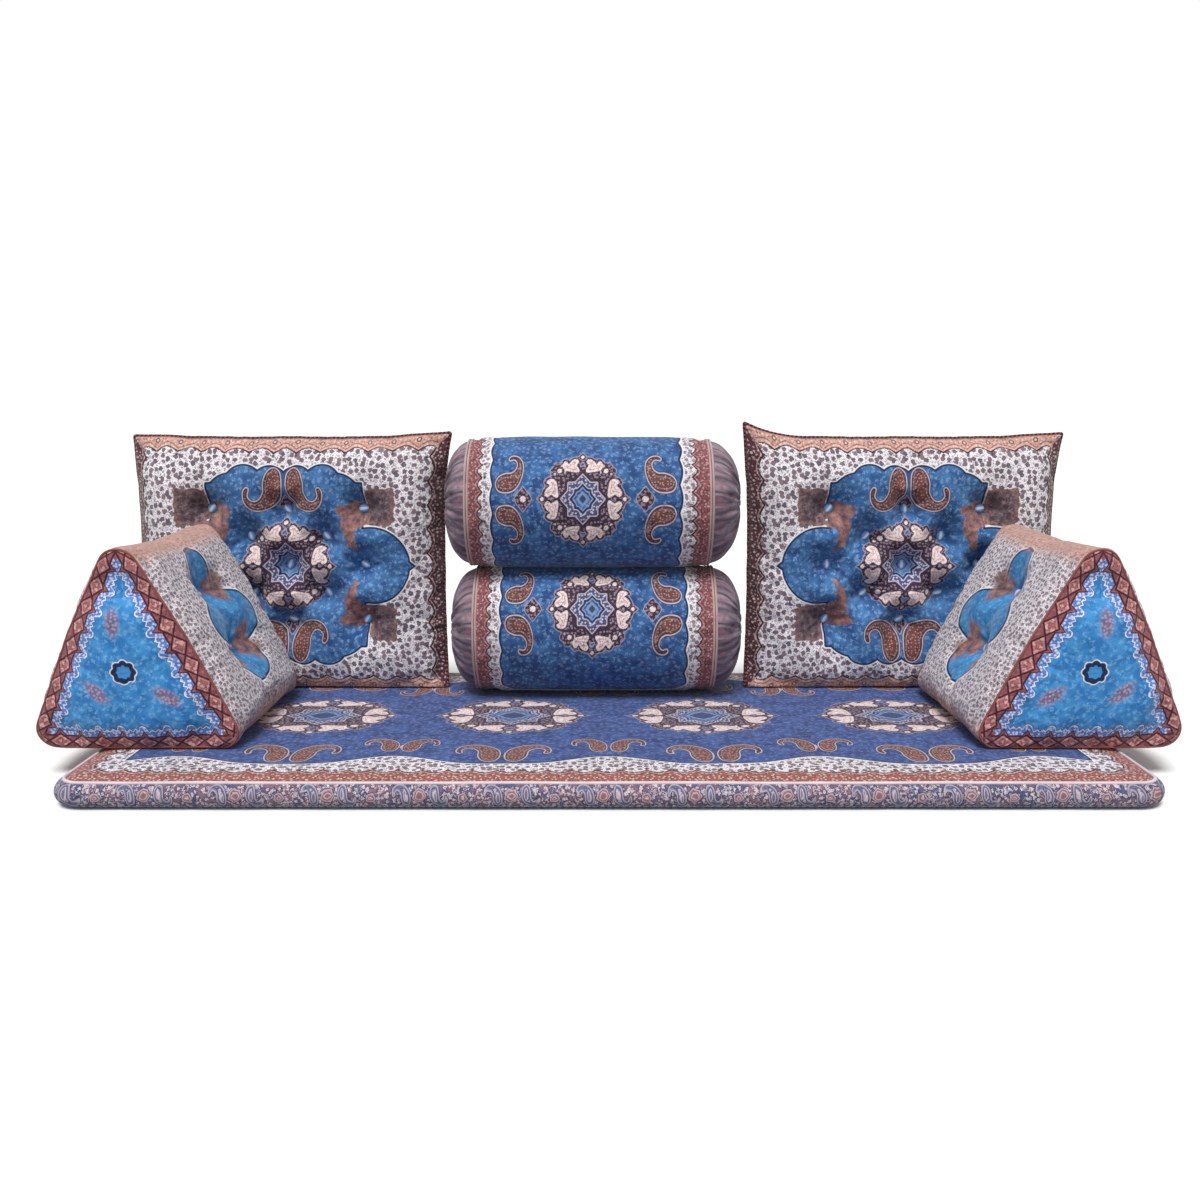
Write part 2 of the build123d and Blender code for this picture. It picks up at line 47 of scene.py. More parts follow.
# Mattress
MATTRESS_LENGTH = 2000
MATTRESS_DEPTH = 800
MATTRESS_GRID = 12.5
MATTRESS_CORNER = 40
BAND_HEIGHT = 50
BAND_BULGE = 22
CROWN_RUN = 75
SEAT_Z = 58

# Zips: how far each pocket reaches from its middle, and how deep it lies
MATTRESS_ZIP_REACH = 753
BOLSTER_ZIP_REACH = 222
ZIP_POCKET_HALF = 13.5
ZIP_POCKET_DEPTH = 12.2

# Back cushions
CUSHION_WIDTH = 735
CUSHION_HEIGHT = 598
CUSHION_HALF_THICK = 86
CUSHION_SQUASH = 7
SIDE_DRAW = 12
TOP_DRAW = 8
CUSHION_Y = 305
CUSHION_X = {"left": -743, "right": 690}
SEATED_FORWARD = 72
SEATED_BACK = 119  # the rear cloth's lowest part, which lies on the mattress
TUFT_DEPTH = 42
TUFT_PITCH = 180
TUFT_ROW_PITCH = 67
# Upper corners that stand up: the side, where the lift starts across and up and how far it runs, the move
CORNER_LIFTS = {
    "left": ((1, 180, 188, 180, 119, (14, -8, 8)),),
    "right": ((-1, 250, 118, 150, 149, (-8, -6, 34)), (1, 200, 168, 180, 119, (10, -3, 6))),
}

# Bolsters
BOLSTER_RADIUS = 148
BOLSTER_END_RADIUS = 142
BOLSTER_SEAM = 268
BOLSTER_CAP = 65
BOLSTER_Y = 232
BOLSTER_X = {"lower": -26, "upper": -34}
BOLSTER_Z = {"lower": 204.3, "upper": 496.6}
BOLSTER_TURN = {"lower": 27, "upper": 8}
BOLSTER_SLIP = {"lower": -9, "upper": -21}
BOLSTER_MEET = 350.4

# Armrests
WEDGE_BASE = 432
WEDGE_HEIGHT = 437
WEDGE_HALF_LENGTH = 207
WEDGE_CORNER = 34
WEDGE_BELLY = 9
WEDGE_END_CROWN = 14
WEDGE_END_MIDDLE = 140
WEDGE_X = {"left": -917, "right": 917}
WEDGE_Y = -27
WEDGE_TUFTS = (155, 268)
WEDGE_PULL = 34
WEDGE_LEAN = 17
RIDGE_SAG = 10
REAR_PRESSED = 0.6  # the share of the rear end's swell that the back cushion presses flat
SLOPE_LENGTH = math.hypot(WEDGE_BASE / 2, WEDGE_HEIGHT)
SLOPE_TILT = WEDGE_HEIGHT / SLOPE_LENGTH
SLOPE_LEAN = WEDGE_BASE / 2 / SLOPE_LENGTH

# Trim
BUTTON_RADIUS = 12
BUTTON_DOME = 8
BUTTON_SINK = 1.5
CORD_SIDES = 8

# Print: the repeat of each run of motifs
MEDALLION_PITCH = 410
BOXING_PITCH = 165
STEP_PITCH = 43


def fade(value, start, width):
    """0 up to the start, then a rise to 1 across the width."""
    return np.clip((value - start) / width, 0, 1)


def stacked(*columns):
    return np.stack(np.broadcast_arrays(*columns), -1)


# Signed distances of the print's shapes, in millimetres, positive inside


def disc(u, v, centre_u, centre_v, radius):
    return radius - np.hypot(u - centre_u, v - centre_v)


def oval(u, v, centre_u, centre_v, reach_u, reach_v):
    across, up = (u - centre_u) / reach_u, (v - centre_v) / reach_v
    return (1 - np.hypot(across, up)) * min(reach_u, reach_v)


def block(u, v, half_u, half_v, rounding=0):
    across = np.abs(u) - half_u + rounding
    up = np.abs(v) - half_v + rounding
    outside = np.hypot(np.maximum(across, 0), np.maximum(up, 0))
    return rounding - outside - np.minimum(np.maximum(across, up), 0)


def diamond(u, v, reach_u, reach_v):
    slant = reach_u * reach_v / math.hypot(reach_u, reach_v)
    return (1 - np.abs(u) / reach_u - np.abs(v) / reach_v) * slant


def any_of(*shapes):
    return np.maximum.reduce(shapes)


def smooth_outline(corners, steps=4):
    """A closed curve through a few points."""
    corners = np.array(corners, float)
    before, after, beyond = (np.roll(corners, shift, 0) for shift in (1, -1, -2))
    slope = after - before
    bend = 2 * before - 5 * corners + 4 * after - beyond
    turn = 3 * corners - before - 3 * after + beyond
    shares = [step / steps for step in range(steps)]
    rows = [0.5 * (2 * corners + slope * t + bend * t**2 + turn * t**3) for t in shares]
    return np.stack(rows, 1).reshape(-1, 2)


def drawn(u, v, outline, room=24):
    """Signed distance to a closed outline, worked out only near it."""
    result = np.full(u.shape, -float(room))
    low, high = outline.min(0) - room, outline.max(0) + room
    near = (u > low[0]) & (u < high[0]) & (v > low[1]) & (v < high[1])
    place_u, place_v = u[near], v[near]
    nearest = np.full(place_u.shape, 1e9)
    inside = np.zeros(place_u.shape, bool)
    for start, end in zip(outline, np.roll(outline, -1, 0)):
        run = end - start
        along = ((place_u - start[0]) * run[0] + (place_v - start[1]) * run[1]) / (run @ run)
        along = np.clip(along, 0, 1)
        gap = np.hypot(place_u - start[0] - along * run[0], place_v - start[1] - along * run[1])
        nearest = np.minimum(nearest, gap)
        crosses = (start[1] > place_v) != (end[1] > place_v)
        rise = run[1] if run[1] else 1e-9
        inside ^= crosses & (place_u < start[0] + (place_v - start[1]) * run[0] / rise)
    result[near] = np.where(inside, nearest, -nearest)
    return result


# The print's drawn shapes, for the upper right quarter. The boteh is half of a pair, bulbs up.
BOTEH = smooth_outline(
    [
        (24, 229), (9, 219), (5, 192), (9, 165), (24, 143), (50, 130), (74, 132), (89, 148),
        (92, 170), (85, 182), (79, 178), (82, 162), (72, 151), (58, 154), (48, 171), (47, 194), (39, 219),
    ]
)
WING = smooth_outline(
    [
        (61, 5), (63, 25), (68, 41), (81, 45), (92, 37), (82, 30), (91, 23), (97, 11), (88, 4),
        (79, 10), (70, 4),
    ]
)
CURL_LEAF = smooth_outline([(139, 109), (138, 80), (147, 55), (168, 36), (160, 62), (166, 86), (192, 102)])
PALMETTE_DOTS = ((103, 0, 5), (0, 101, 5), (58, 64, 6), (71, 56, 3.5), (52, 77, 3.5), (45, 60, 3))


def medallion(u, v):
    """The lobed medallion, its winged palmettes and its star."""
    lobes = 2.2 * np.cos(28 * np.arctan2(v, u))
    u, v = np.abs(u), np.abs(v)
    wings = any_of(drawn(u, v, WING), drawn(v + 1, u - 5, WING))
    body = any_of(
        disc(u, v, 0, 0, 73) + lobes,
        disc(u, v, 57, 61, 23) + lobes,
        wings + 5,
        diamond(u - 103, v, 13, 10),
        diamond(u, v - 101, 10, 13),
    )
    palmettes = any_of(wings, *(disc(u, v, *dot) for dot in PALMETTE_DOTS))
    star = any_of(block(u, v, 38, 38), diamond(u, v, 57, 57))
    return body, palmettes, star


# Where each cloth's print lies. Every chart gives the same named values for each face corner.


def border_along(u, v, half_u, half_v):
    """Distance in from a rectangular cloth's edge, the place along it, and 1 beside its sides."""
    to_side, to_end = half_u - np.abs(u), half_v - np.abs(v)
    beside = to_side < to_end
    return np.minimum(to_side, to_end), np.where(beside, v, u), beside.astype(float)


def repeated(place, pitch):
    """The place in its own repeat, from the repeat's middle."""
    return ((place + pitch / 2) % pitch) - pitch / 2


def within_face(values, period):
    """A face's first value, and each corner's step from it without a jump at the seam."""
    values = values.reshape(-1, 4)
    step = values - values[:, :1]
    return values[:, :1], step - np.round(step / period) * period


def print_values(u, v, **values):
    nothing = np.full(u.shape, -30.0)
    names = ("panel", "corner", "boteh", "medallion", "palmette", "star")
    motifs = [np.clip(values.get(name, nothing), -60, 60) for name in names]
    zero = np.zeros(u.shape)
    edge, along, side = values.get("border", (zero + 200, zero, zero))
    return {
        "place": (u, v, edge),
        "trim": (along, side, values.get("shade", zero)),
        "motif_a": motifs[:3],
        "motif_b": motifs[3:],
    }


def cushion_print(chart):
    u, v = chart[:, 0], chart[:, 1]
    far_u, far_v = np.abs(u), np.abs(v)
    panel = any_of(
        block(far_u, far_v, 181, 192),
        disc(far_u, far_v, 30, 191, 42),
        disc(far_u, far_v, 91, 190, 43),
        disc(far_u, far_v, 118, 149, 65),
        oval(far_u, far_v, 200, 0, 88, 90),
        diamond(far_u - 284, far_v, 16, 14),
    )
    jagged = 1.8 * np.sin(far_v / 6) * np.sin(far_u / 7)
    corner = any_of(
        np.minimum(block(far_u - 221, far_v - 136, 35, 43, 12), -disc(far_u, far_v, 262, 88, 17)),
        oval(far_u, far_v, 166, 127, 48, 21),
        disc(far_u, far_v, 150, 96, 19),
        drawn(far_u, far_v, CURL_LEAF) + 3,
    )
    body, palmettes, star = medallion(u, v)
    return print_values(
        u,
        v,
        panel=panel,
        corner=corner + jagged,
        boteh=drawn(far_u, far_v, BOTEH),
        medallion=any_of(body, diamond(far_u, far_v - 142, 17, 24)),
        palmette=palmettes,
        star=star,
        border=border_along(u, v, CUSHION_WIDTH / 2, CUSHION_HEIGHT / 2),
    )


def bolster_print(chart, turn):
    """The same print on a bolster: its panel comes round twice."""
    u = chart[:, 0]
    repeat = math.pi * BOLSTER_RADIUS
    angle = np.arctan2(chart[:, 2], -chart[:, 1]) - math.radians(turn)
    first, around = within_face(angle * BOLSTER_RADIUS, 2 * repeat)
    v = (around + repeated(first, repeat)).reshape(-1)
    far_u, far_v = np.abs(u), np.abs(v)
    body, palmettes, star = medallion(u / 0.86, v / 0.98)
    return print_values(
        u,
        v,
        panel=block(far_u, far_v, 203, 226, 30) + 6 * np.abs(np.cos(v / 62 * math.pi)) - 3,
        boteh=drawn((far_v - 9) * 0.98, (far_u - 132) * 1.6 + 131, BOTEH, 30) / 1.3,
        medallion=any_of(body * 0.9, diamond(far_u - 131, v, 19, 27), disc(far_u, v, 131, 0, 17)),
        palmette=any_of(palmettes * 0.9, disc(far_u, v, 131, 0, 7)),
        star=star * 0.9,
        border=(BOLSTER_SEAM - far_u, v, np.ones(u.shape)),
    )


def mattress_print(chart):
    u, v = chart[:, 0], chart[:, 1]
    far_v = np.abs(v)
    to_medallion = (u % MEDALLION_PITCH) - MEDALLION_PITCH / 2
    to_gap = repeated(u, MEDALLION_PITCH)
    size = 1.2
    body, palmettes, star = medallion(to_medallion / 1.42, v / size)
    crest = 318 - 44 * np.exp(-((np.abs(to_gap) / 92) ** 2.2))
    half_u, half_v = MATTRESS_LENGTH / 2, MATTRESS_DEPTH / 2
    return print_values(
        u,
        v,
        panel=np.minimum(crest - far_v, half_u - 85 - np.abs(u)),
        boteh=any_of(
            drawn(np.abs(to_medallion), far_v - 78, BOTEH),
            drawn(np.abs(to_gap) * 1.25, (far_v - 64) * 1.25, BOTEH),
        ),
        medallion=body * size,
        palmette=palmettes * size,
        star=star * size,
        border=border_along(u, v, half_u, half_v),
    )


def slope_print(chart):
    """An armrest's slopes and base: a blue panel that two tufts pinch, on the floral ground."""
    across, along, up = chart[:, 0], chart[:, 1], chart[:, 2]
    climb = (WEDGE_BASE / 2 - np.abs(across)) * (WEDGE_BASE / 2) + up * WEDGE_HEIGHT
    climb = climb / SLOPE_LENGTH
    middle = climb - 236
    far = np.abs(middle)
    panel = any_of(
        oval(middle, along, 0, 0, 66, 112),
        oval(middle, along, 108, 0, 64, 44),
        oval(middle, along, -96, 0, 50, 62),
    )
    wander = 6 * np.sin(along / 9 + far / 13)
    # Brown smudges round the tufts, darkest at them: partly the print's own stain, partly painted shade of
    # the tuft pits
    smudge = any_of(
        oval(far, np.abs(along), 72, 42, 34, 24),
        oval(far, along, 58, -12, 12, 44) - 3,
        oval(middle, along, -34, 36, 15, 22),
    )
    base = fade(-up, -26, 20) * (climb < 60)
    panel = np.where(base > 0.9, -30, panel)
    shade = any_of(fade(climb, 386, 40), fade(-climb, -64, 46), base)
    return print_values(climb, along, panel=panel, corner=smudge + wander, shade=shade)


def wedge_end_print(chart, hand):
    """An armrest's triangular end: sky blue inside a lace edge and a stepped border."""
    across, up = chart[:, 0], chart[:, 2]
    inset = WEDGE_BASE / 2 - np.abs(across)
    to_slope = inset * SLOPE_TILT - up * SLOPE_LEAN + WEDGE_BELLY * 0.6
    climb = inset * SLOPE_LEAN + up * SLOPE_TILT
    along = np.where(up < to_slope, across, climb)
    second_edge = np.sort(np.stack([up, to_slope, to_slope + 2 * np.abs(across) * SLOPE_TILT]), axis=0)[1]
    flower_v = up - 160
    turn = np.arctan2(flower_v, across)
    leaves = []
    for leaf_u, leaf_v, angle in ((12, 93, 92), (-74, -48, 34), (56, -40, 43)):
        du = hand * across - leaf_u
        dv = flower_v - leaf_v
        angle = math.radians(angle)
        lengthwise = du * math.cos(angle) + dv * math.sin(angle)
        sideways = dv * math.cos(angle) - du * math.sin(angle)
        leaves.append(oval(lengthwise, sideways, 0, 0, 30, 14))
    return print_values(
        across,
        up,
        boteh=any_of(*leaves),
        star=19 + 4 * np.abs(np.cos(4 * turn)) - np.hypot(across, flower_v),
        shade=36 - second_edge,
        border=(np.minimum(to_slope, up), along, np.zeros(across.shape)),
    )


def band_print(chart):
    """The boxing: a run of outlined rosettes and leaves on a patchwork ground."""
    across, along, up = chart[:, 0], chart[:, 1], chart[:, 2]
    at_end = (np.abs(across) - MATTRESS_LENGTH / 2) > (np.abs(along) - MATTRESS_DEPTH / 2)
    run = np.where(at_end, along, across)
    place, height = repeated(run, BOXING_PITCH), up - 29
    rosettes = any_of(
        disc(place, height, -12, 1, 11) + 1.6 * np.cos(7 * np.arctan2(height - 1, place + 12)),
        disc(place, height, 66, -3, 8) + 1.2 * np.cos(5 * np.arctan2(height + 3, place - 66)),
    )
    size = 2.7
    leaves = any_of(
        drawn((place - 22) * size + 44, height * size + 180, BOTEH) / size,
        drawn((-place - 44) * size + 48, -height * size + 180, BOTEH) / size,
    )
    return print_values(run, up, boteh=leaves, star=rosettes, border=(up, run, at_end.astype(float)))


def cap_print(chart):
    """A bolster's gathered end: its pleats run in to the middle."""
    radius = np.hypot(chart[:, 1], chart[:, 2])
    first, turn = within_face(np.arctan2(chart[:, 2], chart[:, 1]), 2 * math.pi)
    around = ((turn + first) * 100).reshape(-1)
    return print_values(around, radius, border=(BOLSTER_RADIUS - radius, around, around * 0))


def plain_print(chart):
    return print_values(chart[:, 0], chart[:, 1] + chart[:, 2])


# Closed cushion forms, each a mesh whose points keep their place in the cloth


def rim(index):
    """The boundary of a grid of point numbers, once round."""
    return np.concatenate([index[0, :-1], index[:-1, -1], index[-1, :0:-1], index[:0:-1, 0]])


def grid_faces(index):
    return stacked(index[:-1, :-1], index[:-1, 1:], index[1:, 1:], index[1:, :-1]).reshape(-1, 4)


def loop_faces(first, second):
    return stacked(first, np.roll(first, -1), np.roll(second, -1), second)


def closed_sheets(front, back, bands):
    """Two sheets joined at their rims, straight or through the rows of a band."""
    rows, columns = front.shape[:2]
    count = rows * columns
    front_index = np.arange(count).reshape(rows, columns)
    points = [front.reshape(-1, 3)]
    rims = [rim(front_index)]
    for band in bands:
        points.append(band)
        rims.append(np.arange(count, count + len(band)))
        count += len(band)
    if bands:
        back_index = front_index + count
        points.append(back.reshape(-1, 3))
        rims.append(rim(back_index))
    else:
        back_index = front_index.copy()
        inner = (rows - 2) * (columns - 2)
        back_index[1:-1, 1:-1] = np.arange(count, count + inner).reshape(rows - 2, columns - 2)
        points.append(back[1:-1, 1:-1].reshape(-1, 3))
    faces = [grid_faces(front_index), grid_faces(back_index)[:, ::-1]]
    faces += [loop_faces(upper, lower)[:, ::-1] for upper, lower in zip(rims, rims[1:])]
    slots = np.concatenate([np.full(len(part), min(slot, 2)) for slot, part in enumerate(faces)])
    return np.concatenate(points), np.concatenate(faces), slots, rims[0]


def closed_rings(rings, slots_of_rings):
    """Rings in a row, drawn in to a small last ring at each end. Also gives each ring's point numbers."""
    count, around = rings.shape[:2]
    index = np.arange(count * around).reshape(count, around)
    faces = [loop_faces(index[k], index[k + 1]) for k in range(count - 1)]
    half_round = around // 2 + 1
    ends = []
    for ring in (index[0], index[-1]):
        left, right = ring[:half_round], np.roll(ring[::-1], 1)[:half_round]
        ends.append(stacked(left[:-1], left[1:], right[1:], right[:-1])[1:-1])
    slots = [np.repeat(slots_of_rings, around), np.repeat(slots_of_rings[[0, -1]], len(ends[0]))]
    return rings.reshape(-1, 3), np.concatenate(faces + ends), np.concatenate(slots), index


def add_object(name, points, faces):
    mesh = bpy.data.meshes.new(name)
    mesh.from_pydata((np.array(points) * MM).tolist(), [], faces)
    thing = bpy.data.objects.new(name, mesh)
    bpy.context.scene.collection.objects.link(thing)
    return thing


def make_piece(name, points, faces, slots, chart):
    piece = add_object(name, points, faces.tolist())
    mesh = piece.data
    mesh.polygons.foreach_set("material_index", slots.astype(np.int32))
    cloth_place = mesh.attributes.new("cloth_place", "FLOAT_VECTOR", "POINT")
    cloth_place.data.foreach_set("vector", chart.astype(np.float32).reshape(-1))
    form = bmesh.new()
    form.from_mesh(mesh)
    bmesh.ops.recalc_face_normals(form, faces=form.faces)
    form.to_mesh(mesh)
    form.free()
    return piece


def read_vectors(items, key):
    values = np.empty(len(items) * 3, np.float32)
    items.foreach_get(key, values)
    return values.reshape(-1, 3).astype(float)


def read_points(mesh):
    return read_vectors(mesh.vertices, "co") / MM


def write_points(mesh, points):
    mesh.vertices.foreach_set("co", (points * MM).astype(np.float32).reshape(-1))
    mesh.update()


def bake_modifiers(piece):
    shape = piece.evaluated_get(bpy.context.evaluated_depsgraph_get())
    baked = bpy.data.meshes.new_from_object(shape)
    piece.modifiers.clear()
    old = piece.data
    piece.data = baked
    bpy.data.meshes.remove(old)


def fill_out(piece, held, pressure, slack, most):
    """Filling pushes the cover out while its held points stay. No point moves further than most."""
    start = read_points(piece.data)
    ties = piece.vertex_groups.new(name="tied")
    ties.add([int(point) for point in held], 1.0, "REPLACE")
    cloth = piece.modifiers.new("cover", "CLOTH")
    cloth.settings.vertex_group_mass = "tied"
    cloth.settings.quality = 4
    cloth.settings.mass = 0.3
    cloth.settings.tension_stiffness = 12
    cloth.settings.compression_stiffness = 6
    cloth.settings.shear_stiffness = 5
    cloth.settings.bending_stiffness = 0.4
    cloth.settings.shrink_min = -slack
    cloth.settings.use_pressure = True
    cloth.settings.uniform_pressure_force = pressure
    cloth.settings.effector_weights.gravity = 0
    cloth.collision_settings.use_collision = False
    for frame_number in range(1, 19):
        bpy.context.scene.frame_set(frame_number)
    bake_modifiers(piece)
    moved = read_points(piece.data) - start
    far = np.linalg.norm(moved, axis=1, keepdims=True)
    write_points(piece.data, start + moved * np.minimum(1, most / np.maximum(far, 1e-6)))


def refine(piece):
    """One step of subdivision, which also carries each point's place in the cloth."""
    finer = piece.modifiers.new("finer", "SUBSURF")
    finer.levels = 1
    bake_modifiers(piece)
    return read_points(piece.data), read_vectors(piece.data.attributes["cloth_place"].data, "vector")


def print_cloth(piece, charts):
    """Write each part's print values on its face corners."""
    mesh = piece.data
    corners = np.empty(len(mesh.loops), np.int32)
    mesh.loops.foreach_get("vertex_index", corners)
    slots = np.empty(len(mesh.polygons), np.int32)
    mesh.polygons.foreach_get("material_index", slots)
    chart = read_vectors(mesh.attributes["cloth_place"].data, "vector")[corners]
    slot_of_corner = np.repeat(slots, 4)
    names = ("place", "trim", "motif_a", "motif_b")
    found = {name: np.zeros((len(corners), 3), np.float32) for name in names}
    for slot, print_of in enumerate(charts):
        mine = slot_of_corner == slot
        if mine.any():
            for name, columns in print_of(chart[mine]).items():
                found[name][mine] = np.stack(columns, -1)
    for name in names:
        layer = mesh.attributes.new(name, "FLOAT_VECTOR", "CORNER")
        layer.data.foreach_set("vector", found[name].reshape(-1))
    mesh.attributes.remove(mesh.attributes["cloth_place"])
    mesh.shade_smooth()


def ripple_noise(points, length, seed):
    """Soft unevenness from a few crossed waves."""
    waves = np.random.default_rng(seed)
    total = np.zeros(len(points))
    for _ in range(7):
        direction = waves.normal(size=3)
        direction /= np.linalg.norm(direction)
        phase = points @ direction * 2 * math.pi / length / waves.uniform(0.7, 1.5)
        total += np.sin(phase + waves.uniform(0, 6))
    return total / 7


# Materials


def linear(code):
    """A hex colour turned to linear light."""
    parts = [int(code[k : k + 2], 16) / 255 for k in (1, 3, 5)]
    return (*[p / 12.92 if p <= 0.04045 else ((p + 0.055) / 1.055) ** 2.4 for p in parts], 1)


def node(tree, kind, inputs, **settings):
    """Add a node, with its settings, values and links. A hex colour is made linear."""
    new = tree.nodes.new("ShaderNode" + kind)
    for name, value in settings.items():
        setattr(new, name, value)
    for key, value in inputs.items():
        if isinstance(value, bpy.types.NodeSocket):
            tree.links.new(value, new.inputs[key])
        else:
            new.inputs[key].default_value = linear(value) if isinstance(value, str) else value
    return new.outputs


def reckon(tree, operation, *terms):
    return node(tree, "Math", dict(enumerate(terms)), operation=operation)[0]


def blend(tree, share, first, second):
    return node(tree, "Mix", {0: share, 6: first, 7: second}, data_type="RGBA")[2]


def spread(tree, value, low, high, to_low=0, to_high=1):
    span = {"Value": value, "From Min": low, "From Max": high, "To Min": to_low, "To Max": to_high}
    return node(tree, "MapRange", span)[0]


def noise(tree, place, size, detail, **more):
    return node(tree, "TexNoise", {"Vector": place, "Scale": 1 / size, "Detail": detail, **more})[0]


def printed(tree, colour, distance, *inks):
    """Print inks in turn: each where the distance is past its start and short of its end, in millimetres.

    An ink is its colour and start, and may add an end, the softness of its edge and its strength.
    """
    for ink, start, *more in inks:
        end, soft, strength = *more, *(None, 0.7, 1.0)[len(more) :]
        cover = spread(tree, distance, start - soft, start + soft, 0, strength)
        if end is not None:
            cover = reckon(tree, "MULTIPLY", cover, spread(tree, distance, end - soft, end + soft, 1, 0))
        colour = blend(tree, cover, colour, ink)
    return colour


def cloth_material(name, roughness, sheen):
    """A cloth with its shader in place. The colour comes later."""
    material = bpy.data.materials.new(name)
    material.use_nodes = True
    shader = material.node_tree.nodes["Principled BSDF"]
    shader.inputs["Roughness"].default_value = roughness
    shader.inputs["Specular IOR Level"].default_value = 0.25
    shader.inputs["Sheen Weight"].default_value = sheen
    shader.inputs["Sheen Roughness"].default_value = 0.5
    return material, material.node_tree


def finish_cloth(material, colour, bump=None):
    tree = material.node_tree
    shader = tree.nodes["Principled BSDF"]
    tree.links.new(colour, shader.inputs["Base Color"])
    if bump is not None:
        tree.links.new(bump, shader.inputs["Normal"])
    return material


def nap(tree, place, size, height, crease=0):
    """Bump of a nap or weave, and of the soft creases above the filling. Sizes in millimetres."""
    grain = noise(tree, place, size, 3, Roughness=0.6)
    bump = node(tree, "Bump", {"Height": grain, "Strength": 0.5, "Distance": height * MM})[0]
    if crease:
        folds = noise(tree, place, 42, 2, Distortion=1.2)
        above = {"Height": folds, "Strength": 0.8, "Distance": crease * MM, "Normal": bump}
        bump = node(tree, "Bump", above)[0]
    return bump


def read_print(tree):
    """The print's values, as separate numbers."""
    values = {}
    for name, parts in (
        ("place", ("u", "v", "edge")),
        ("trim", ("along", "side", "shade")),
        ("motif_a", ("panel", "corner", "boteh")),
        ("motif_b", ("medallion", "palmette", "star")),
    ):
        stored = node(tree, "Attribute", {}, attribute_name=name)[1]
        values.update(zip(parts, node(tree, "SeparateXYZ", {0: stored})))
    values["flat"] = node(tree, "CombineXYZ", {0: values["u"], 1: values["v"]})[0]
    return values


def strewn(tree, place, pitch, shift=0.5, randomness=0.85):
    """Points strewn a pitch apart: how far inside one, in millimetres, and a tint of its own."""
    uneven = node(tree, "TexNoise", {"Vector": place, "Scale": 2.6 / pitch, "Detail": 2})[1]
    moved = node(tree, "VectorMath", {0: uneven, 3: pitch * shift}, operation="SCALE")[0]
    moved = node(tree, "VectorMath", {0: place, 1: moved}, operation="ADD")[0]
    cells = {"Vector": moved, "Scale": 1 / pitch, "Randomness": randomness}
    nearest = node(tree, "TexVoronoi", cells, voronoi_dimensions="2D")
    inside = reckon(tree, "MULTIPLY", nearest[0], -pitch)
    return inside, node(tree, "SeparateXYZ", {0: nearest[1]})[0]


def scattered(tree, place, pitch, shift=0.5):
    return strewn(tree, place, pitch, shift)[0]


PAPER = "#efebee"
PETALS = ("#5e5563", "#86727a")
FAINT_PETALS = ("#786d79", "#9b8a90")
NAVY = "#14264a"
PLUM = "#3a2a3c"
CREAM = "#ecd9d2"
MAROON = "#74393d"
DARK_LINE = "#3a1d28"
ROSEWOOD = "#3f1420"
INDIGO = "#3b2f48"

# A border's inks: its ends, its sides, its lines and its pale lights
# The back cushions' side ink is far darker than their end ink: the border's own maroon with painted shade of
# the sides that curve away
CUSHION_INKS = ("#cb9a8a", "#58303a", DARK_LINE, CREAM)
BOLSTER_INKS = ("#a35a44", "#8d5255", DARK_LINE, "#d3b6b4")
MATTRESS_INKS = ("#9c5a50", "#9c5a50", DARK_LINE, CREAM)


def floral_ground(tree, place, petal, second, pitch):
    """White cloth strewn with small flowers on thin stems."""
    stem = reckon(tree, "PINGPONG", noise(tree, place, pitch, 1), 0.07)
    stem = reckon(tree, "MULTIPLY", stem, -pitch * 2)
    colour = printed(tree, PAPER, stem, (second, -0.6, None, 0.3, 0.65))
    leaf = scattered(tree, place, pitch * 0.5, 1.1)
    colour = printed(tree, colour, leaf, (petal, -0.13 * pitch, None, 0.5, 0.7))
    flower, tint = strewn(tree, place, pitch, 0.75, 0.7)
    return printed(
        tree,
        colour,
        flower,
        (PAPER, -0.47 * pitch, None, 0.5),
        (blend(tree, tint, petal, second), -0.37 * pitch, None, 0.5),
        (second, -0.12 * pitch, None, 0.5, 0.6),
    )


def flecked_blue(tree, place, blue, deep, fleck_highlight):
    """Blue velvet whose pile catches light in small flecks."""
    cloud = spread(tree, noise(tree, place, 38, 3), 0.4, 0.6)
    colour = blend(tree, cloud, deep, blue)
    # Pale flecks where the pile catches light: painted highlights
    colour = printed(tree, colour, scattered(tree, place, 13, 1.5), (fleck_highlight, -3.1, None, 1.8, 0.6))
    return printed(tree, colour, scattered(tree, place, 21, 1.6), (deep, -4.4, None, 2.5, 0.6))


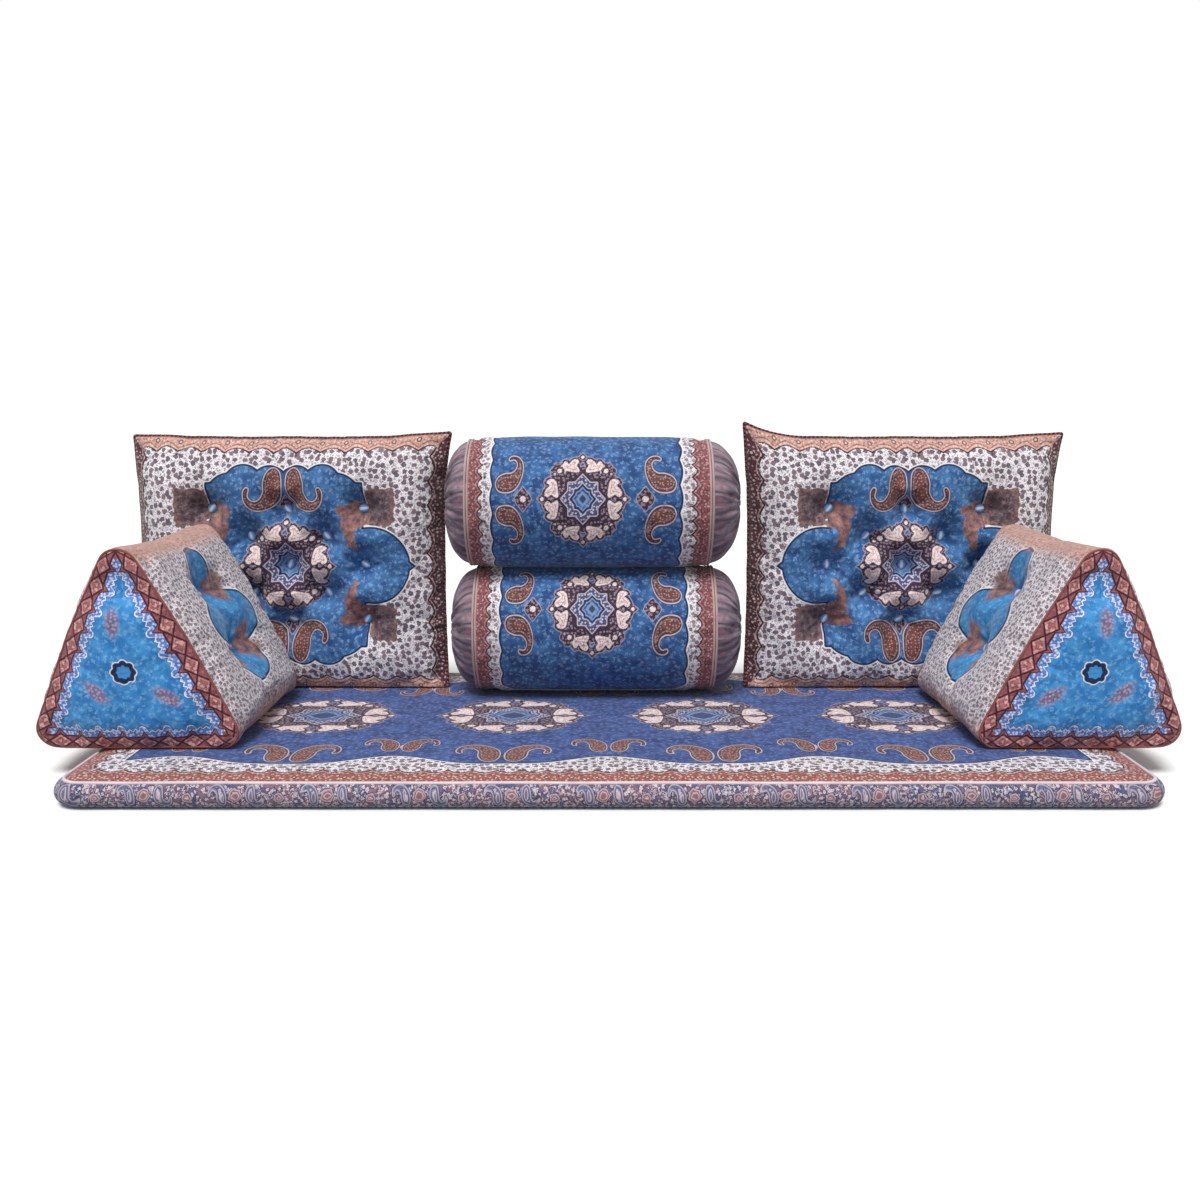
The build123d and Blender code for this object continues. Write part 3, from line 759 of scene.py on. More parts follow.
def arched_border(tree, values, colour, inks, depth, pitch, height):
    """A border of pointed arches along the cloth's edge, with a drop beyond each point."""
    end, side, line, pale = inks
    edge, flat = values["edge"], values["flat"]
    swing = reckon(tree, "PINGPONG", values["along"], pitch / 2)
    arch = reckon(tree, "POWER", reckon(tree, "MULTIPLY", swing, 2 / pitch), 1.7)
    reach = reckon(tree, "MULTIPLY_ADD", arch, height, depth - height * 0.42)
    inward = reckon(tree, "SUBTRACT", reach, edge)
    # Beside a cloth's sides the border takes the side ink; on the back cushions that ink holds painted shade
    cloth = blend(tree, values["side"], end, side)
    cloth = printed(tree, cloth, scattered(tree, flat, 7, 1.2), (line, -1.7, None, 0.6, 0.6))
    cloth = printed(tree, cloth, scattered(tree, flat, 9, 0.9), (pale, -2.0, None, 0.8, 0.65))
    centre = reckon(tree, "SUBTRACT", swing, pitch / 2)
    spots = []
    for from_edge in (depth * 0.42, depth + height * 0.58 + 5):
        offset = reckon(tree, "SUBTRACT", edge, from_edge)
        spot = node(tree, "CombineXYZ", {0: centre, 1: offset})[0]
        spot = node(tree, "VectorMath", {0: spot}, operation="LENGTH")[1]
        spots.append(reckon(tree, "MULTIPLY", spot, -1))
    heart, drop = spots
    hearts = ((line, -0.1 * pitch, None, 0.7, 0.8), (pale, -0.05 * pitch, None, 0.7, 0.7))
    cloth = printed(tree, cloth, heart, *hearts)
    colour = printed(tree, colour, drop, (line, -0.065 * pitch, None, 0.7, 0.85))
    colour = printed(tree, colour, inward, (cloth, 0))
    near_point = reckon(tree, "MULTIPLY_ADD", arch, 2.6, 1.1)
    outline = reckon(tree, "SUBTRACT", near_point, inward)
    outlined = printed(tree, colour, outline, (line, 0, None, 0.6))
    rules = ((pale, 4.6, 6, 0.7, 0.6), (line, 9, 11, 0.7, 0.7))
    colour = printed(tree, colour, inward, (outlined, -1.1), *rules)
    outer = reckon(tree, "MULTIPLY", edge, -1)
    return printed(tree, colour, outer, (side, -5, None, 1.5, 0.8))


def medallion_velvet(name, blues, inks, border, flower_pitch, petals, brown_and_pit_shade=("#5c4248", "#93685e", 1.2)):
    """Cotton velvet, printed: a short soft nap that dulls the highlights and lets the print show crisp."""
    material, tree = cloth_material(name, 0.82, 0.18)
    values = read_print(tree)
    place, panel, boteh = values["flat"], values["panel"], values["boteh"]
    dots = scattered(tree, place, 7.5)
    vein = scattered(tree, place, 19, 1.6)
    smudge = noise(tree, place, 14, 3)
    patchy = spread(tree, smudge, 0.35, 0.65)

    colour = floral_ground(tree, place, *petals, flower_pitch)
    blue_cloth = flecked_blue(tree, place, *blues)
    colour = printed(tree, colour, panel, (PAPER, -4.5, 0), (blue_cloth, 0), (NAVY, -1.8, 2.4))

    # The corner pieces: brown beside the panel and warmer on it, with dark hearts. On the armrest slopes the
    # same inks, made darker, are the smudges round the tufts: partly the print's own stain, partly painted
    # shade of the tuft pits.
    corner = reckon(tree, "ADD", values["corner"], spread(tree, smudge, 0.3, 0.7, -2, 2))
    brown = blend(tree, patchy, *brown_and_pit_shade[:2])
    brown = printed(tree, brown, vein, (PLUM, -5.6, -3.6, 0.9, 0.75))
    heart = printed(tree, "#3a2c38", vein, ("#8d7476", -4.4, None, 0.8, 0.7))
    brown = printed(tree, brown, corner, (heart, 10, None, 2.5, 0.8))
    warm = blend(tree, patchy, "#6f4a4c", "#bd8770")
    warm = printed(tree, warm, vein, ("#553a48", -6.2, -4.6, 0.8, 0.7))
    brown = printed(tree, brown, panel, (warm, 1, None, 4, 0.85))
    colour = printed(tree, colour, corner, (brown, 1, None, brown_and_pit_shade[2], 0.92))

    plum_cloth = printed(tree, PLUM, dots, ("#b39aa6", -2.3, -0.9, 0.5, 0.85))
    colour = printed(tree, colour, values["medallion"], ("#b9a6b0", -2.0, 0, 0.5, 0.7), (plum_cloth, 0))
    blush = blend(tree, smudge, "#dfc3bf", "#f5ecea")
    blush = printed(tree, blush, dots, ("#9a6f6c", -1.5, None, 0.6, 0.7))
    palmette_inks = ((PLUM, -2.0), (blush, 0), ("#a06c68", 5, 6.4, 0.7, 0.7))
    colour = printed(tree, colour, values["palmette"], *palmette_inks)
    star_cloth = printed(tree, "#4d4f6e", dots, ("#c3c5d9", -2.1, None, 0.6))
    star_inks = (
        (PLUM, -6),
        ("#cbbfd0", -0.4, 1.8),
        (star_cloth, 2.2),
        ("#c5c4da", 12.5, 14.5),
        ("#2b2d50", 14.5),
        ("#8ea9d4", 19, 21),
        (blue_cloth, 21),
        ("#7d93b8", 25, None, 1),
        ("#34456f", 30, None, 1),
    )
    colour = printed(tree, colour, values["star"], *star_inks)
    fill = blend(tree, patchy, "#40303a", "#74504c")
    fill = printed(tree, fill, boteh, ("#8c4a3e", 12, None, 4, 0.55))
    fill = printed(tree, fill, dots, ("#d3a79a", -1.7, None, 0.6, 0.6), ("#2e2230", -3.3, -2.7, 0.4, 0.5))
    outlines = ((NAVY, -3.0), ("#cdb6bc", -1.6), (PLUM, 0.8))
    boteh_inks = (*outlines, (fill, 3.0), ("#bf9c94", 5.6, 6.8, 0.5, 0.55))
    colour = printed(tree, colour, boteh, *boteh_inks)
    colour = arched_border(tree, values, colour, inks, *border)

    worn = spread(tree, noise(tree, place, 120, 2), 0.3, 0.7, 0.9, 1.06)
    layers = {0: 1.0, 6: colour, 7: worn}
    colour = node(tree, "Mix", layers, data_type="RGBA", blend_type="MULTIPLY")[2]
    salmon = blend(tree, smudge, "#a06a5c", "#cfa08e")
    salmon = printed(tree, salmon, dots, ("#7a4a48", -1.8, None, 0.7, 0.6))
    colour = printed(tree, colour, values["shade"], (salmon, 0.45, None, 0.4, 0.8))
    return finish_cloth(material, colour, nap(tree, place, 1.6, 0.5, 7))


def sky_velvet(name):
    """The same velvet in sky blue, for the armrest ends: a lace edge inside a stepped border."""
    material, tree = cloth_material(name, 0.82, 0.18)
    values = read_print(tree)
    place, edge, boteh = values["flat"], values["edge"], values["boteh"]
    dots = scattered(tree, place, 7)
    colour = flecked_blue(tree, place, "#4596d6", "#2a76ba", "#84bfe9")
    faint = printed(tree, "#9a9cc0", boteh, ("#94697c", 3, None, 2))
    faint = printed(tree, faint, dots, ("#d5c0cc", -2.2, None, 0.8, 0.55), ("#5a3a56", -4.6, -3.2, 0.8, 0.6))
    colour = printed(tree, colour, boteh, (faint, 1, None, 4, 0.75))
    colour = printed(tree, colour, values["star"], (PAPER, -2.2), (NAVY, 0), ("#3f8fd0", 9))

    swing = reckon(tree, "PINGPONG", values["along"], STEP_PITCH / 2)
    point = spread(tree, swing, STEP_PITCH / 2 - 9, STEP_PITCH / 2, 0, 13)
    small = reckon(tree, "PINGPONG", values["along"], STEP_PITCH / 8)
    reach = reckon(tree, "ADD", reckon(tree, "ADD", point, 42), small)
    lace = reckon(tree, "SUBTRACT", reach, edge)
    lace_inks = (("#cfcde8", -2.2, None, 0.6), ("#2f4a8a", -4.2, -3.4, 0.5, 0.7))
    lace_cloth = printed(tree, "#5f8bd0", dots, *lace_inks)
    colour = printed(
        tree, colour, lace, (lace_cloth, 0), (PAPER, -0.2, 2.2), ("#3a5aa0", -2.2, -0.4, 0.7, 0.7)
    )

    step = reckon(tree, "MULTIPLY_ADD", point, 1.1, 27)
    inward = reckon(tree, "SUBTRACT", step, edge)
    grain_inks = (("#dcaea6", -2.9, None, 0.7, 0.8), ("#5c2532", -5.6, -4.4, 0.6, 0.8))
    border = printed(tree, "#a8686a", scattered(tree, place, 11, 1.2), *grain_inks)
    off_middle = reckon(tree, "ABSOLUTE", reckon(tree, "SUBTRACT", edge, 15))
    chain = reckon(tree, "MULTIPLY_ADD", swing, -30 / STEP_PITCH, off_middle)
    chain_inks = (("#834852", 1, None, 0.7, 0.75), (ROSEWOOD, -1.9, 1.9), ("#e2bdb2", -5.2, -3.8, 0.7, 0.5))
    border = printed(tree, border, chain, *chain_inks)
    colour = printed(tree, colour, inward, (border, 0))
    colour = printed(tree, colour, values["shade"], (border, 0))
    colour = printed(tree, colour, inward, (ROSEWOOD, -1.8, 1.6))
    return finish_cloth(material, colour, nap(tree, place, 1.6, 0.5, 7))


def boxing_velvet(name):
    """The mattress's boxing: outlined leaves and rosettes on a blue and pink patchwork."""
    material, tree = cloth_material(name, 0.85, 0.15)
    values = read_print(tree)
    place = values["flat"]
    tint = strewn(tree, place, 17, 0.9)[1]
    colour = blend(tree, tint, "#4d5a80", "#8f6a76")
    small_inks = (
        ("#e6dbdc", -2.4, None, 0.5, 0.9),
        ("#94585e", -1.1, None, 0.5, 0.8),
        ("#3a3657", -4.6, -3.4, 0.5, 0.85),
    )
    colour = printed(tree, colour, scattered(tree, place, 9, 1.3), *small_inks)
    curl_inks = (("#d9ccd6", -6.4, -4.9, 0.5, 0.75), (INDIGO, -8.2, -6.6, 0.5, 0.6))
    colour = printed(tree, colour, scattered(tree, place, 21, 1.5), *curl_inks)
    for motif, heart in (("boteh", "#777a98"), ("star", "#a5828a")):
        motif_inks = (
            (INDIGO, -2.6, None, 0.7, 0.8),
            ("#d3c6d0", -0.9, None, 0.7, 0.8),
            (heart, 0.3),
            (INDIGO, 2.0, 2.9, 0.4, 0.8),
            ("#dcc6c6", 3.8, 4.8, 0.4, 0.8),
            (MAROON, 6, None, 0.7, 0.55),
        )
        colour = printed(tree, colour, values[motif], *motif_inks)
    below = reckon(tree, "MULTIPLY", values["v"], -1)
    tick = reckon(tree, "PINGPONG", values["u"], 6.5)
    strip = printed(tree, "#9db0cf", tick, ("#4d5c88", 4.2))
    colour = printed(tree, colour, below, (strip, -7))
    return finish_cloth(material, colour, nap(tree, place, 1.8, 0.5, 5))


def gathered_satin(name):
    """Mauve satin weave drawn into pleats: a smooth face that shades softly along each fold."""
    material, tree = cloth_material(name, 0.6, 0.12)
    values = read_print(tree)
    place = values["flat"]
    stretched = {0: values["u"], 1: reckon(tree, "MULTIPLY", values["v"], 0.22)}
    # Dark and light mauve streaks along the pleats: painted shade and painted sheen of the folds
    fold_shade_and_sheen = noise(tree, node(tree, "CombineXYZ", stretched)[0], 11, 3, Distortion=0.6)
    colour = blend(tree, spread(tree, fold_shade_and_sheen, 0.36, 0.62), "#4f4453", "#a08d97")
    colour = printed(tree, colour, scattered(tree, place, 15, 0.9), ("#8a5c66", -3.4, None, 1, 0.6))
    return finish_cloth(material, colour, nap(tree, place, 1.2, 0.3))


def woven_cloth(name, light, dark, thread, roughness=0.85):
    """Plain weave: crossing threads that show as a faint grid."""
    material, tree = cloth_material(name, roughness, 0.1)
    place = node(tree, "TexCoord", {})[3]
    scaled = node(tree, "VectorMath", {0: place, 3: 1 / MM}, operation="SCALE")[0]
    wave = {"Vector": scaled, "Scale": 0.314 / thread, "Distortion": 1.5}
    weft = node(tree, "TexWave", wave)[1]
    warp = node(tree, "TexWave", wave, bands_direction="Z")[1]
    threads = reckon(tree, "MULTIPLY", weft, warp)
    mixed = reckon(tree, "ADD", threads, noise(tree, scaled, 40, 3))
    colour = blend(tree, spread(tree, mixed, 0.3, 1.2), dark, light)
    bump = node(tree, "Bump", {"Height": threads, "Strength": 0.4, "Distance": 0.4 * MM})[0]
    return finish_cloth(material, colour, bump)


def two_strand_cloth(name, light, dark):
    """Braid of two dyed strands: the pale one shows between the turns of the dark one."""
    material, tree = cloth_material(name, 0.85, 0.1)
    strand = node(tree, "Attribute", {}, attribute_name="strand")[2]
    return finish_cloth(material, printed(tree, dark, strand, (light, 0.35, None, 0.2)))


def covered_button_cloth(name):
    """Blue satin over a button mould: a pale thread crosses its middle, inside a broad lighter band that is
    a painted highlight.
    """
    material, tree = cloth_material(name, 0.45, 0.1)
    beside = node(tree, "Attribute", {}, attribute_name="beside_thread_and_highlight")[2]
    beside = reckon(tree, "MULTIPLY", beside, -1)
    # Lighter blue within 8 mm of the thread's line and near white within 3 mm: the thread with a painted
    # highlight band round it
    inks = (("#76a4e0", -8, None, 4), ("#e8eef6", -3, None, 0.8, 0.85))
    return finish_cloth(material, printed(tree, "#3a6cb0", beside, *inks))


CUSHION_BLUES = ("#467aaf", "#2c558c", "#8fb4da")
BOLSTER_BLUES = ("#3b699f", "#24457a", "#86a8d2")
SEAT_BLUES = ("#3b5490", "#283c73", "#7087bb")
SLOPE_BLUES = ("#3f8fc8", "#2d74b0", "#7ab8de")
# The slopes' smudge browns, near black at the tufts: partly the print's stain, partly painted shade of the
# tuft pits
SLOPE_STAIN_AND_PIT_SHADE = ("#3e3339", "#9c6c5c", 7)
cushion_velvet = medallion_velvet(
    "printed_velvet_cushion", CUSHION_BLUES, CUSHION_INKS, (32, 55, 13), 15.5, PETALS
)
bolster_velvet = medallion_velvet(
    "printed_velvet_bolster", BOLSTER_BLUES, BOLSTER_INKS, (36, 33, 12), 12, FAINT_PETALS
)
seat_velvet = medallion_velvet(
    "printed_velvet_mattress", SEAT_BLUES, MATTRESS_INKS, (42, 46, 11), 14, PETALS
)
slope_velvet = medallion_velvet(
    "printed_velvet_armrest", SLOPE_BLUES, BOLSTER_INKS, (22, 42, 10), 10, FAINT_PETALS, SLOPE_STAIN_AND_PIT_SHADE
)
end_velvet = sky_velvet("printed_velvet_armrest_end")
boxing = boxing_velvet("printed_velvet_boxing")
satin = gathered_satin("gathered_satin_mauve")
button_satin = woven_cloth("button_satin_mauve", "#9a8891", "#5f5260", 2.4, 0.5)
backing = woven_cloth("backing_twill_navy", "#4b5372", "#2c3350", 1.6)
cream_cord = woven_cloth("piping_cotton_cream", "#d6bcb8", "#9c807e", 1.2)
white_cord = woven_cloth("piping_cotton_white", "#eee6ea", "#c4b8c0", 1.2)
armrest_cord = woven_cloth("piping_cotton_terracotta", "#a9645a", "#6e3a3a", 1.2)
braid_cloth = two_strand_cloth("braid_cotton_maroon", "#8f5a55", "#3d1b25")
button_cloth = covered_button_cloth("button_satin_blue")
twine_cloth = woven_cloth("twine_waxed_cotton", "#cfc5ae", "#a3977d", 1)
tape_cloth = woven_cloth("zip_tape_polyester", "#565e7c", "#39405c", 1)
zip_metal = woven_cloth("zip_enamelled_zinc", "#7b8298", "#5a6078", 3, 0.35)


# The pieces


def finish_piece(piece, body, slot, materials, *nodes):
    """Hand over a piece, with the solids of its own body that it stands for."""
    for material in materials:
        piece.data.materials.append(material)
    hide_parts(*(f"{body}_{name}" for name in nodes))
    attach(piece, body)


def finish_cover(piece, body, materials, charts, fill, *nodes):
    print_cloth(piece, charts)
    finish_piece(piece, body, "printed_blue_cloth", materials, "core", *nodes)


def corner_pull(x, y, half_x, half_y, radius):
    """Move a grid's corner points in, so that its outline turns each corner on a radius."""
    across = fade(np.abs(x), half_x - radius, radius)
    up = fade(np.abs(y), half_y - radius, radius)
    corner = (across > 0) & (up > 0)
    new_x = half_x - radius + radius * across * np.sqrt(1 - up**2 / 2)
    new_y = half_y - radius + radius * up * np.sqrt(1 - across**2 / 2)
    return np.where(corner, np.sign(x) * new_x, x), np.where(corner, np.sign(y) * new_y, y)


def past_corner(place, half):
    """How far an edge point lies past the start of the corner's curve."""
    start = half - MATTRESS_CORNER
    return np.where(np.abs(place) > start, place - np.sign(place) * start, 0)


def mattress_cover():
    half_x, half_y = MATTRESS_LENGTH / 2, MATTRESS_DEPTH / 2
    across = np.linspace(-half_x, half_x, int(MATTRESS_LENGTH / MATTRESS_GRID) + 1)
    up = np.linspace(-half_y, half_y, int(MATTRESS_DEPTH / MATTRESS_GRID) + 1)
    grid_x, grid_y = np.meshgrid(across, up)
    x, y = corner_pull(grid_x, grid_y, half_x, half_y, MATTRESS_CORNER)
    inward = np.minimum(half_x - np.abs(grid_x), half_y - np.abs(grid_y))
    crown = (SEAT_Z - BAND_HEIGHT) * (1 - np.clip(1 - inward / CROWN_RUN, 0, 1) ** 2.2)
    loop = rim(np.arange(x.size).reshape(x.shape))
    edge_x, edge_y = x.reshape(-1)[loop], y.reshape(-1)[loop]
    out_x, out_y = past_corner(edge_x, half_x), past_corner(edge_y, half_y)
    length = np.maximum(np.hypot(out_x, out_y), 1e-6)

    def ring(bulge, height):
        return stacked(edge_x + out_x / length * bulge, edge_y + out_y / length * bulge, height)

    bands, charts = [], [stacked(grid_x, grid_y, BAND_HEIGHT).reshape(-1, 3)]
    for share in (0.12, 0.28, 0.5, 0.72, 0.88):
        height = BAND_HEIGHT * (1 - share)
        bands.append(ring(BAND_BULGE * math.sin(math.pi * share) ** 0.6, height))
        charts.append(stacked(edge_x, edge_y, height))
    charts.append(stacked(grid_x, grid_y, 0).reshape(-1, 3))
    points, faces, slots, _ = closed_sheets(stacked(x, y, BAND_HEIGHT + crown), stacked(x, y, 0), bands)
    piece = make_piece("mattress_cover", points, faces, slots, np.concatenate(charts))
    points, _ = refine(piece)
    top_share = fade(points[:, 2], 20, 30)
    middle = BAND_HEIGHT / 2
    band_share = 1 - np.abs(points[:, 2] - middle) / middle
    lift = ripple_noise(points, 330, 3) * 1.6 + ripple_noise(points, 120, 4) * 0.7 - 1.6
    points[:, 2] += lift * top_share * (points[:, 2] > 44)
    wander = ripple_noise(points * [1, 1, 0.3], 150, 5) * 2.4
    wander += ripple_noise(points * [1, 1, 0.2], 46, 6)
    corner = np.array([half_x, half_y]) - MATTRESS_CORNER
    radial = points[:, :2] - np.clip(points[:, :2], -corner, corner)
    far = np.maximum(np.linalg.norm(radial, axis=1, keepdims=True), 1e-6)
    points[:, :2] += radial / far * (wander * np.clip(band_share, 0, 1) * (far[:, 0] > 30))[:, None]
    pocket = (points[:, 1] > half_y) & (np.abs(points[:, 0]) < MATTRESS_ZIP_REACH)
    pocket &= np.abs(points[:, 2] - middle) < ZIP_POCKET_HALF
    points[pocket, 1] = half_y + BAND_BULGE + 3 - ZIP_POCKET_DEPTH
    points[:, 2] = np.clip(points[:, 2], 0, SEAT_Z - 0.2)
    write_points(piece.data, points)
    materials, prints = (seat_velvet, backing, boxing), (mattress_print, plain_print, band_print)
    panels = ("top_panel", "side_band", "bottom_panel")
    finish_cover(piece, "mattress", materials, prints, 0.9, *panels)
    path = ring(1.5, BAND_HEIGHT - 2.5)
    path[:, 2] += ripple_noise(path, 150, 8) * 0.8
    piping = cord_round("mattress_piping_cord", path, 3.4)
    finish_piece(piping, "mattress", "cream_cord", [white_cord], "top_piping")


def cord_round(name, path, radius, twist=0):
    """A closed cord along a path. A twisted one is two strands, that turn once in each twist's length."""
    count = len(path)
    along = np.roll(path, -1, 0) - np.roll(path, 1, 0)
    along /= np.linalg.norm(along, axis=1, keepdims=True)
    up = np.array([0.0, 0.0, 1.0]) if abs(along[:, 2]).max() < 0.7 else np.array([0.0, 1.0, 0.0])
    if abs(along @ up).max() > 0.95:
        up = np.array([1.0, 0.0, 0.0])
    side = np.cross(along, up)
    side /= np.linalg.norm(side, axis=1, keepdims=True)
    normal = np.cross(side, along)
    steps = np.linalg.norm(np.roll(path, -1, 0) - path, axis=1)
    run = np.concatenate([[0], np.cumsum(steps)[:-1]])
    total = steps.sum()
    turns = round(total / twist) if twist else 0
    angle = np.arange(CORD_SIDES) / CORD_SIDES * 2 * math.pi
    spin = run / total * turns * 2 * math.pi
    strands = np.cos(angle[None, :] - spin[:, None])
    swell = radius * (0.74 + 0.26 * np.abs(strands)) if twist else radius * np.ones(strands.shape)
    points = (
        path[:, None]
        + side[:, None] * (np.cos(angle)[None, :, None] * swell[..., None])
        + normal[:, None] * (np.sin(angle)[None, :, None] * swell[..., None])
    )
    index = np.arange(count * CORD_SIDES).reshape(count, CORD_SIDES)
    wrapped = np.pad(index, ((0, 1), (0, 1)), "wrap")
    cord = add_object(name, points.reshape(-1, 3), grid_faces(wrapped).tolist())
    cord.data.shade_smooth()
    strand = cord.data.attributes.new("strand", "FLOAT", "POINT")
    strand.data.foreach_set("value", strands.astype(np.float32).reshape(-1))
    return cord


def joined(cords, name):
    with bpy.context.temp_override(active_object=cords[0], selected_editable_objects=cords):
        bpy.ops.object.join()
    cords[0].name = name
    return cords[0]


def dense_path(path, spacing):
    """A closed path resampled at an even spacing."""
    closed = np.concatenate([path, path[:1]])
    steps = np.linalg.norm(np.diff(closed, axis=0), axis=1)
    run = np.concatenate([[0], np.cumsum(steps)])
    places = np.linspace(0, run[-1], int(run[-1] / spacing), endpoint=False)
    return stacked(*(np.interp(places, run, closed[:, k]) for k in range(3)))


def domed_buttons(name, places, outwards, seed):
    """Covered buttons: cloth drawn over a dome, each a little askew."""
    askew = np.random.default_rng(seed)
    rings, sides = 7, 20
    points, faces, beside = [], [], []
    for place, outward in zip(places, outwards):
        outward = np.array(outward, float) + askew.normal(0, 0.12, 3)
        outward /= np.linalg.norm(outward)
        across = np.cross(outward, [0, 0, 1.0])
        across /= np.linalg.norm(across)
        up = np.cross(across, outward)
        # The line of the pale thread across each button, which also carries the painted highlight band round
        # it
        thread = askew.uniform(0, math.pi)
        first = len(points)
        for ring in range(rings):
            lift = ring / rings * math.pi / 2
            radius = BUTTON_RADIUS * math.cos(lift) ** 0.8
            centre = place + outward * (BUTTON_DOME * math.sin(lift) - BUTTON_SINK)
            for step in range(sides):
                angle = step / sides * 2 * math.pi
                points.append(centre + across * radius * math.cos(angle) + up * radius * math.sin(angle))
                beside.append(abs(radius * math.sin(angle - thread)))
        points.append(place + outward * (BUTTON_DOME - BUTTON_SINK))
        beside.append(0.0)
        for ring in range(rings - 1):
            for step in range(sides):
                a, b = first + ring * sides + step, first + ring * sides + (step + 1) % sides
                faces.append((a, b, b + sides, a + sides))
        last = first + (rings - 1) * sides
        faces += [(last + step, last + (step + 1) % sides, first + rings * sides) for step in range(sides)]
        faces.append([first + step for step in reversed(range(sides))])
    group = add_object(name, points, faces)
    group.data.shade_smooth()
    group.data.attributes.new("beside_thread_and_highlight", "FLOAT", "POINT").data.foreach_set("value", beside)
    return group


def tuft_places():
    """The tufts of a back cushion, in rows of three and two."""
    places = []
    for row in range(5):
        count = 3 - row % 2
        for column in range(count):
            places.append(((column - (count - 1) / 2) * TUFT_PITCH, (row - 2) * TUFT_ROW_PITCH))
    return places


def back_cushion(side, seed):
    half_width, half_height = CUSHION_WIDTH / 2, CUSHION_HEIGHT / 2
    across = np.linspace(-half_width, half_width, int(CUSHION_WIDTH / COARSE) + 1)
    up = np.linspace(-half_height, half_height, int(CUSHION_HEIGHT / COARSE) + 1)
    a, b = np.meshgrid(across, up)
    x = a * (1 - SIDE_DRAW * 0.7 * (1 - (b / half_height) ** 2) / half_width)
    z = b * (1 - TOP_DRAW * 0.7 * (1 - (a / half_width) ** 2) / half_height)
    shares = [(half - np.abs(place)) / half_height for half, place in ((half_width, a), (half_height, b))]
    rise = [1 - (1 - np.clip(share, 0, 1)) ** 3.2 for share in shares]
    puff = (rise[0] * rise[1]) ** 0.55
    forward = SEATED_FORWARD * (0.5 - b / CUSHION_HEIGHT) ** 1.6
    front_depth = forward + (CUSHION_HALF_THICK + 3 - forward) * puff
    back_depth = -forward + (CUSHION_HALF_THICK + forward) * puff
    tied = np.zeros(a.shape, bool)
    for tuft_a, tuft_b in tuft_places():
        away = np.hypot(a - tuft_a, b - tuft_b)
        tuft = TUFT_DEPTH - 4 + 47 * (1 - np.exp(-((away / 38) ** 1.6))) + away * 0.1
        front_depth = np.minimum(front_depth, tuft)
        back_depth = np.minimum(back_depth, tuft)
        tied |= away < KNOT_REACH
    seated = np.clip((b + half_height) / SEATED_BACK, 0, 1)
    low_back = -half_height + SEATED_BACK * fade(seated, 0.34, 0.66) ** 1.2
    resting = rise[0] * (b < SEATED_BACK - half_height)
    back_depth = back_depth + resting * (1 - seated) * 30 * np.clip(seated / 0.3, 0, 1)
    front, back = stacked(x, -front_depth, z), stacked(x, back_depth, z + (low_back - b) * resting)
    points, faces, slots, seam = closed_sheets(front, back, [])
    chart = stacked(a, b, 0)
    chart = np.concatenate([chart.reshape(-1, 3), chart[1:-1, 1:-1].reshape(-1, 3)])
    held = np.flatnonzero(np.concatenate([tied.reshape(-1), tied[1:-1, 1:-1].reshape(-1)]))
    body = f"back_cushion_{side}"
    piece = make_piece(f"{body}_cover", points, faces, slots, chart)
    fill_out(piece, np.concatenate([held, seam]), 3.2, 0.03, 18)

    # Creases that run out from the tufts, an uneven filling and the corners that stand up
    fine, place = refine(piece)
    pull = np.zeros(len(fine))
    for tuft_a, tuft_b in tuft_places():
        away = np.hypot(place[:, 0] - tuft_a, place[:, 1] - tuft_b)
        turn = np.arctan2(place[:, 1] - tuft_b, place[:, 0] - tuft_a)
        pleat = np.cos(7 * turn + tuft_a + seed) + 0.6 * np.cos(11 * turn + tuft_b)
        pull += pleat * 2.2 * np.exp(-((away - 30) / 17) ** 2)
    uneven = ripple_noise(place * [1, 1, 0] + fine * [0, 0.2, 0], 90, seed) * 2.2
    edge = np.minimum(half_width - np.abs(place[:, 0]), half_height - np.abs(place[:, 1]))
    fine[:, 1] -= np.sign(fine[:, 1]) * (pull + uneven) * np.clip(edge / 40, 0, 1)
    for sign, start_x, run_x, start_z, run_z, move in CORNER_LIFTS[side]:
        lift = fade(sign * fine[:, 0], start_x, run_x) ** 2 * fade(fine[:, 2], start_z, run_z) ** 2
        fine += lift[:, None] * move
    fine += [CUSHION_X[side], CUSHION_Y, SEAT_Z + SEAT_GAP - CUSHION_SQUASH + half_height]
    fine[:, 2] = np.maximum(fine[:, 2], SEAT_Z + SEAT_CLEAR)
    write_points(piece.data, fine)
    panels = ("front_panel", "back_panel")
    finish_cover(piece, body, (cushion_velvet, backing), (cushion_print, plain_print), 0.85, *panels)

    edge_points = np.flatnonzero(np.isclose(edge, 0, atol=0.01))
    order = np.argsort(np.arctan2(place[edge_points, 1] / half_height, place[edge_points, 0] / half_width))
    path = fine[edge_points][order]
    path[:, 2] = np.maximum(path[:, 2], SEAT_Z + 4.6)
    braid = cord_round(f"{body}_rope_edge", dense_path(path, 2.2), 4.2, 10)
    finish_piece(braid, body, "serrated_braid", [braid_cloth], "edge_braid")
    for face, outward in (("front", -1), ("back", 1)):
        places = []
        for tuft_a, tuft_b in tuft_places():
            near = np.hypot(place[:, 0] - tuft_a, place[:, 1] - tuft_b)
            near = near + 1000 * (np.sign(fine[:, 1] - CUSHION_Y) != outward)
            places.append(fine[np.argmin(near)] + [0, outward * 4, 0])
        outwards = [(0, outward, 0.1)] * len(places)
        group = domed_buttons(f"{body}_{face}_covered_buttons", places, outwards, seed)
        finish_piece(group, body, "blue_button_cloth", [button_cloth], f"{face}_buttons")


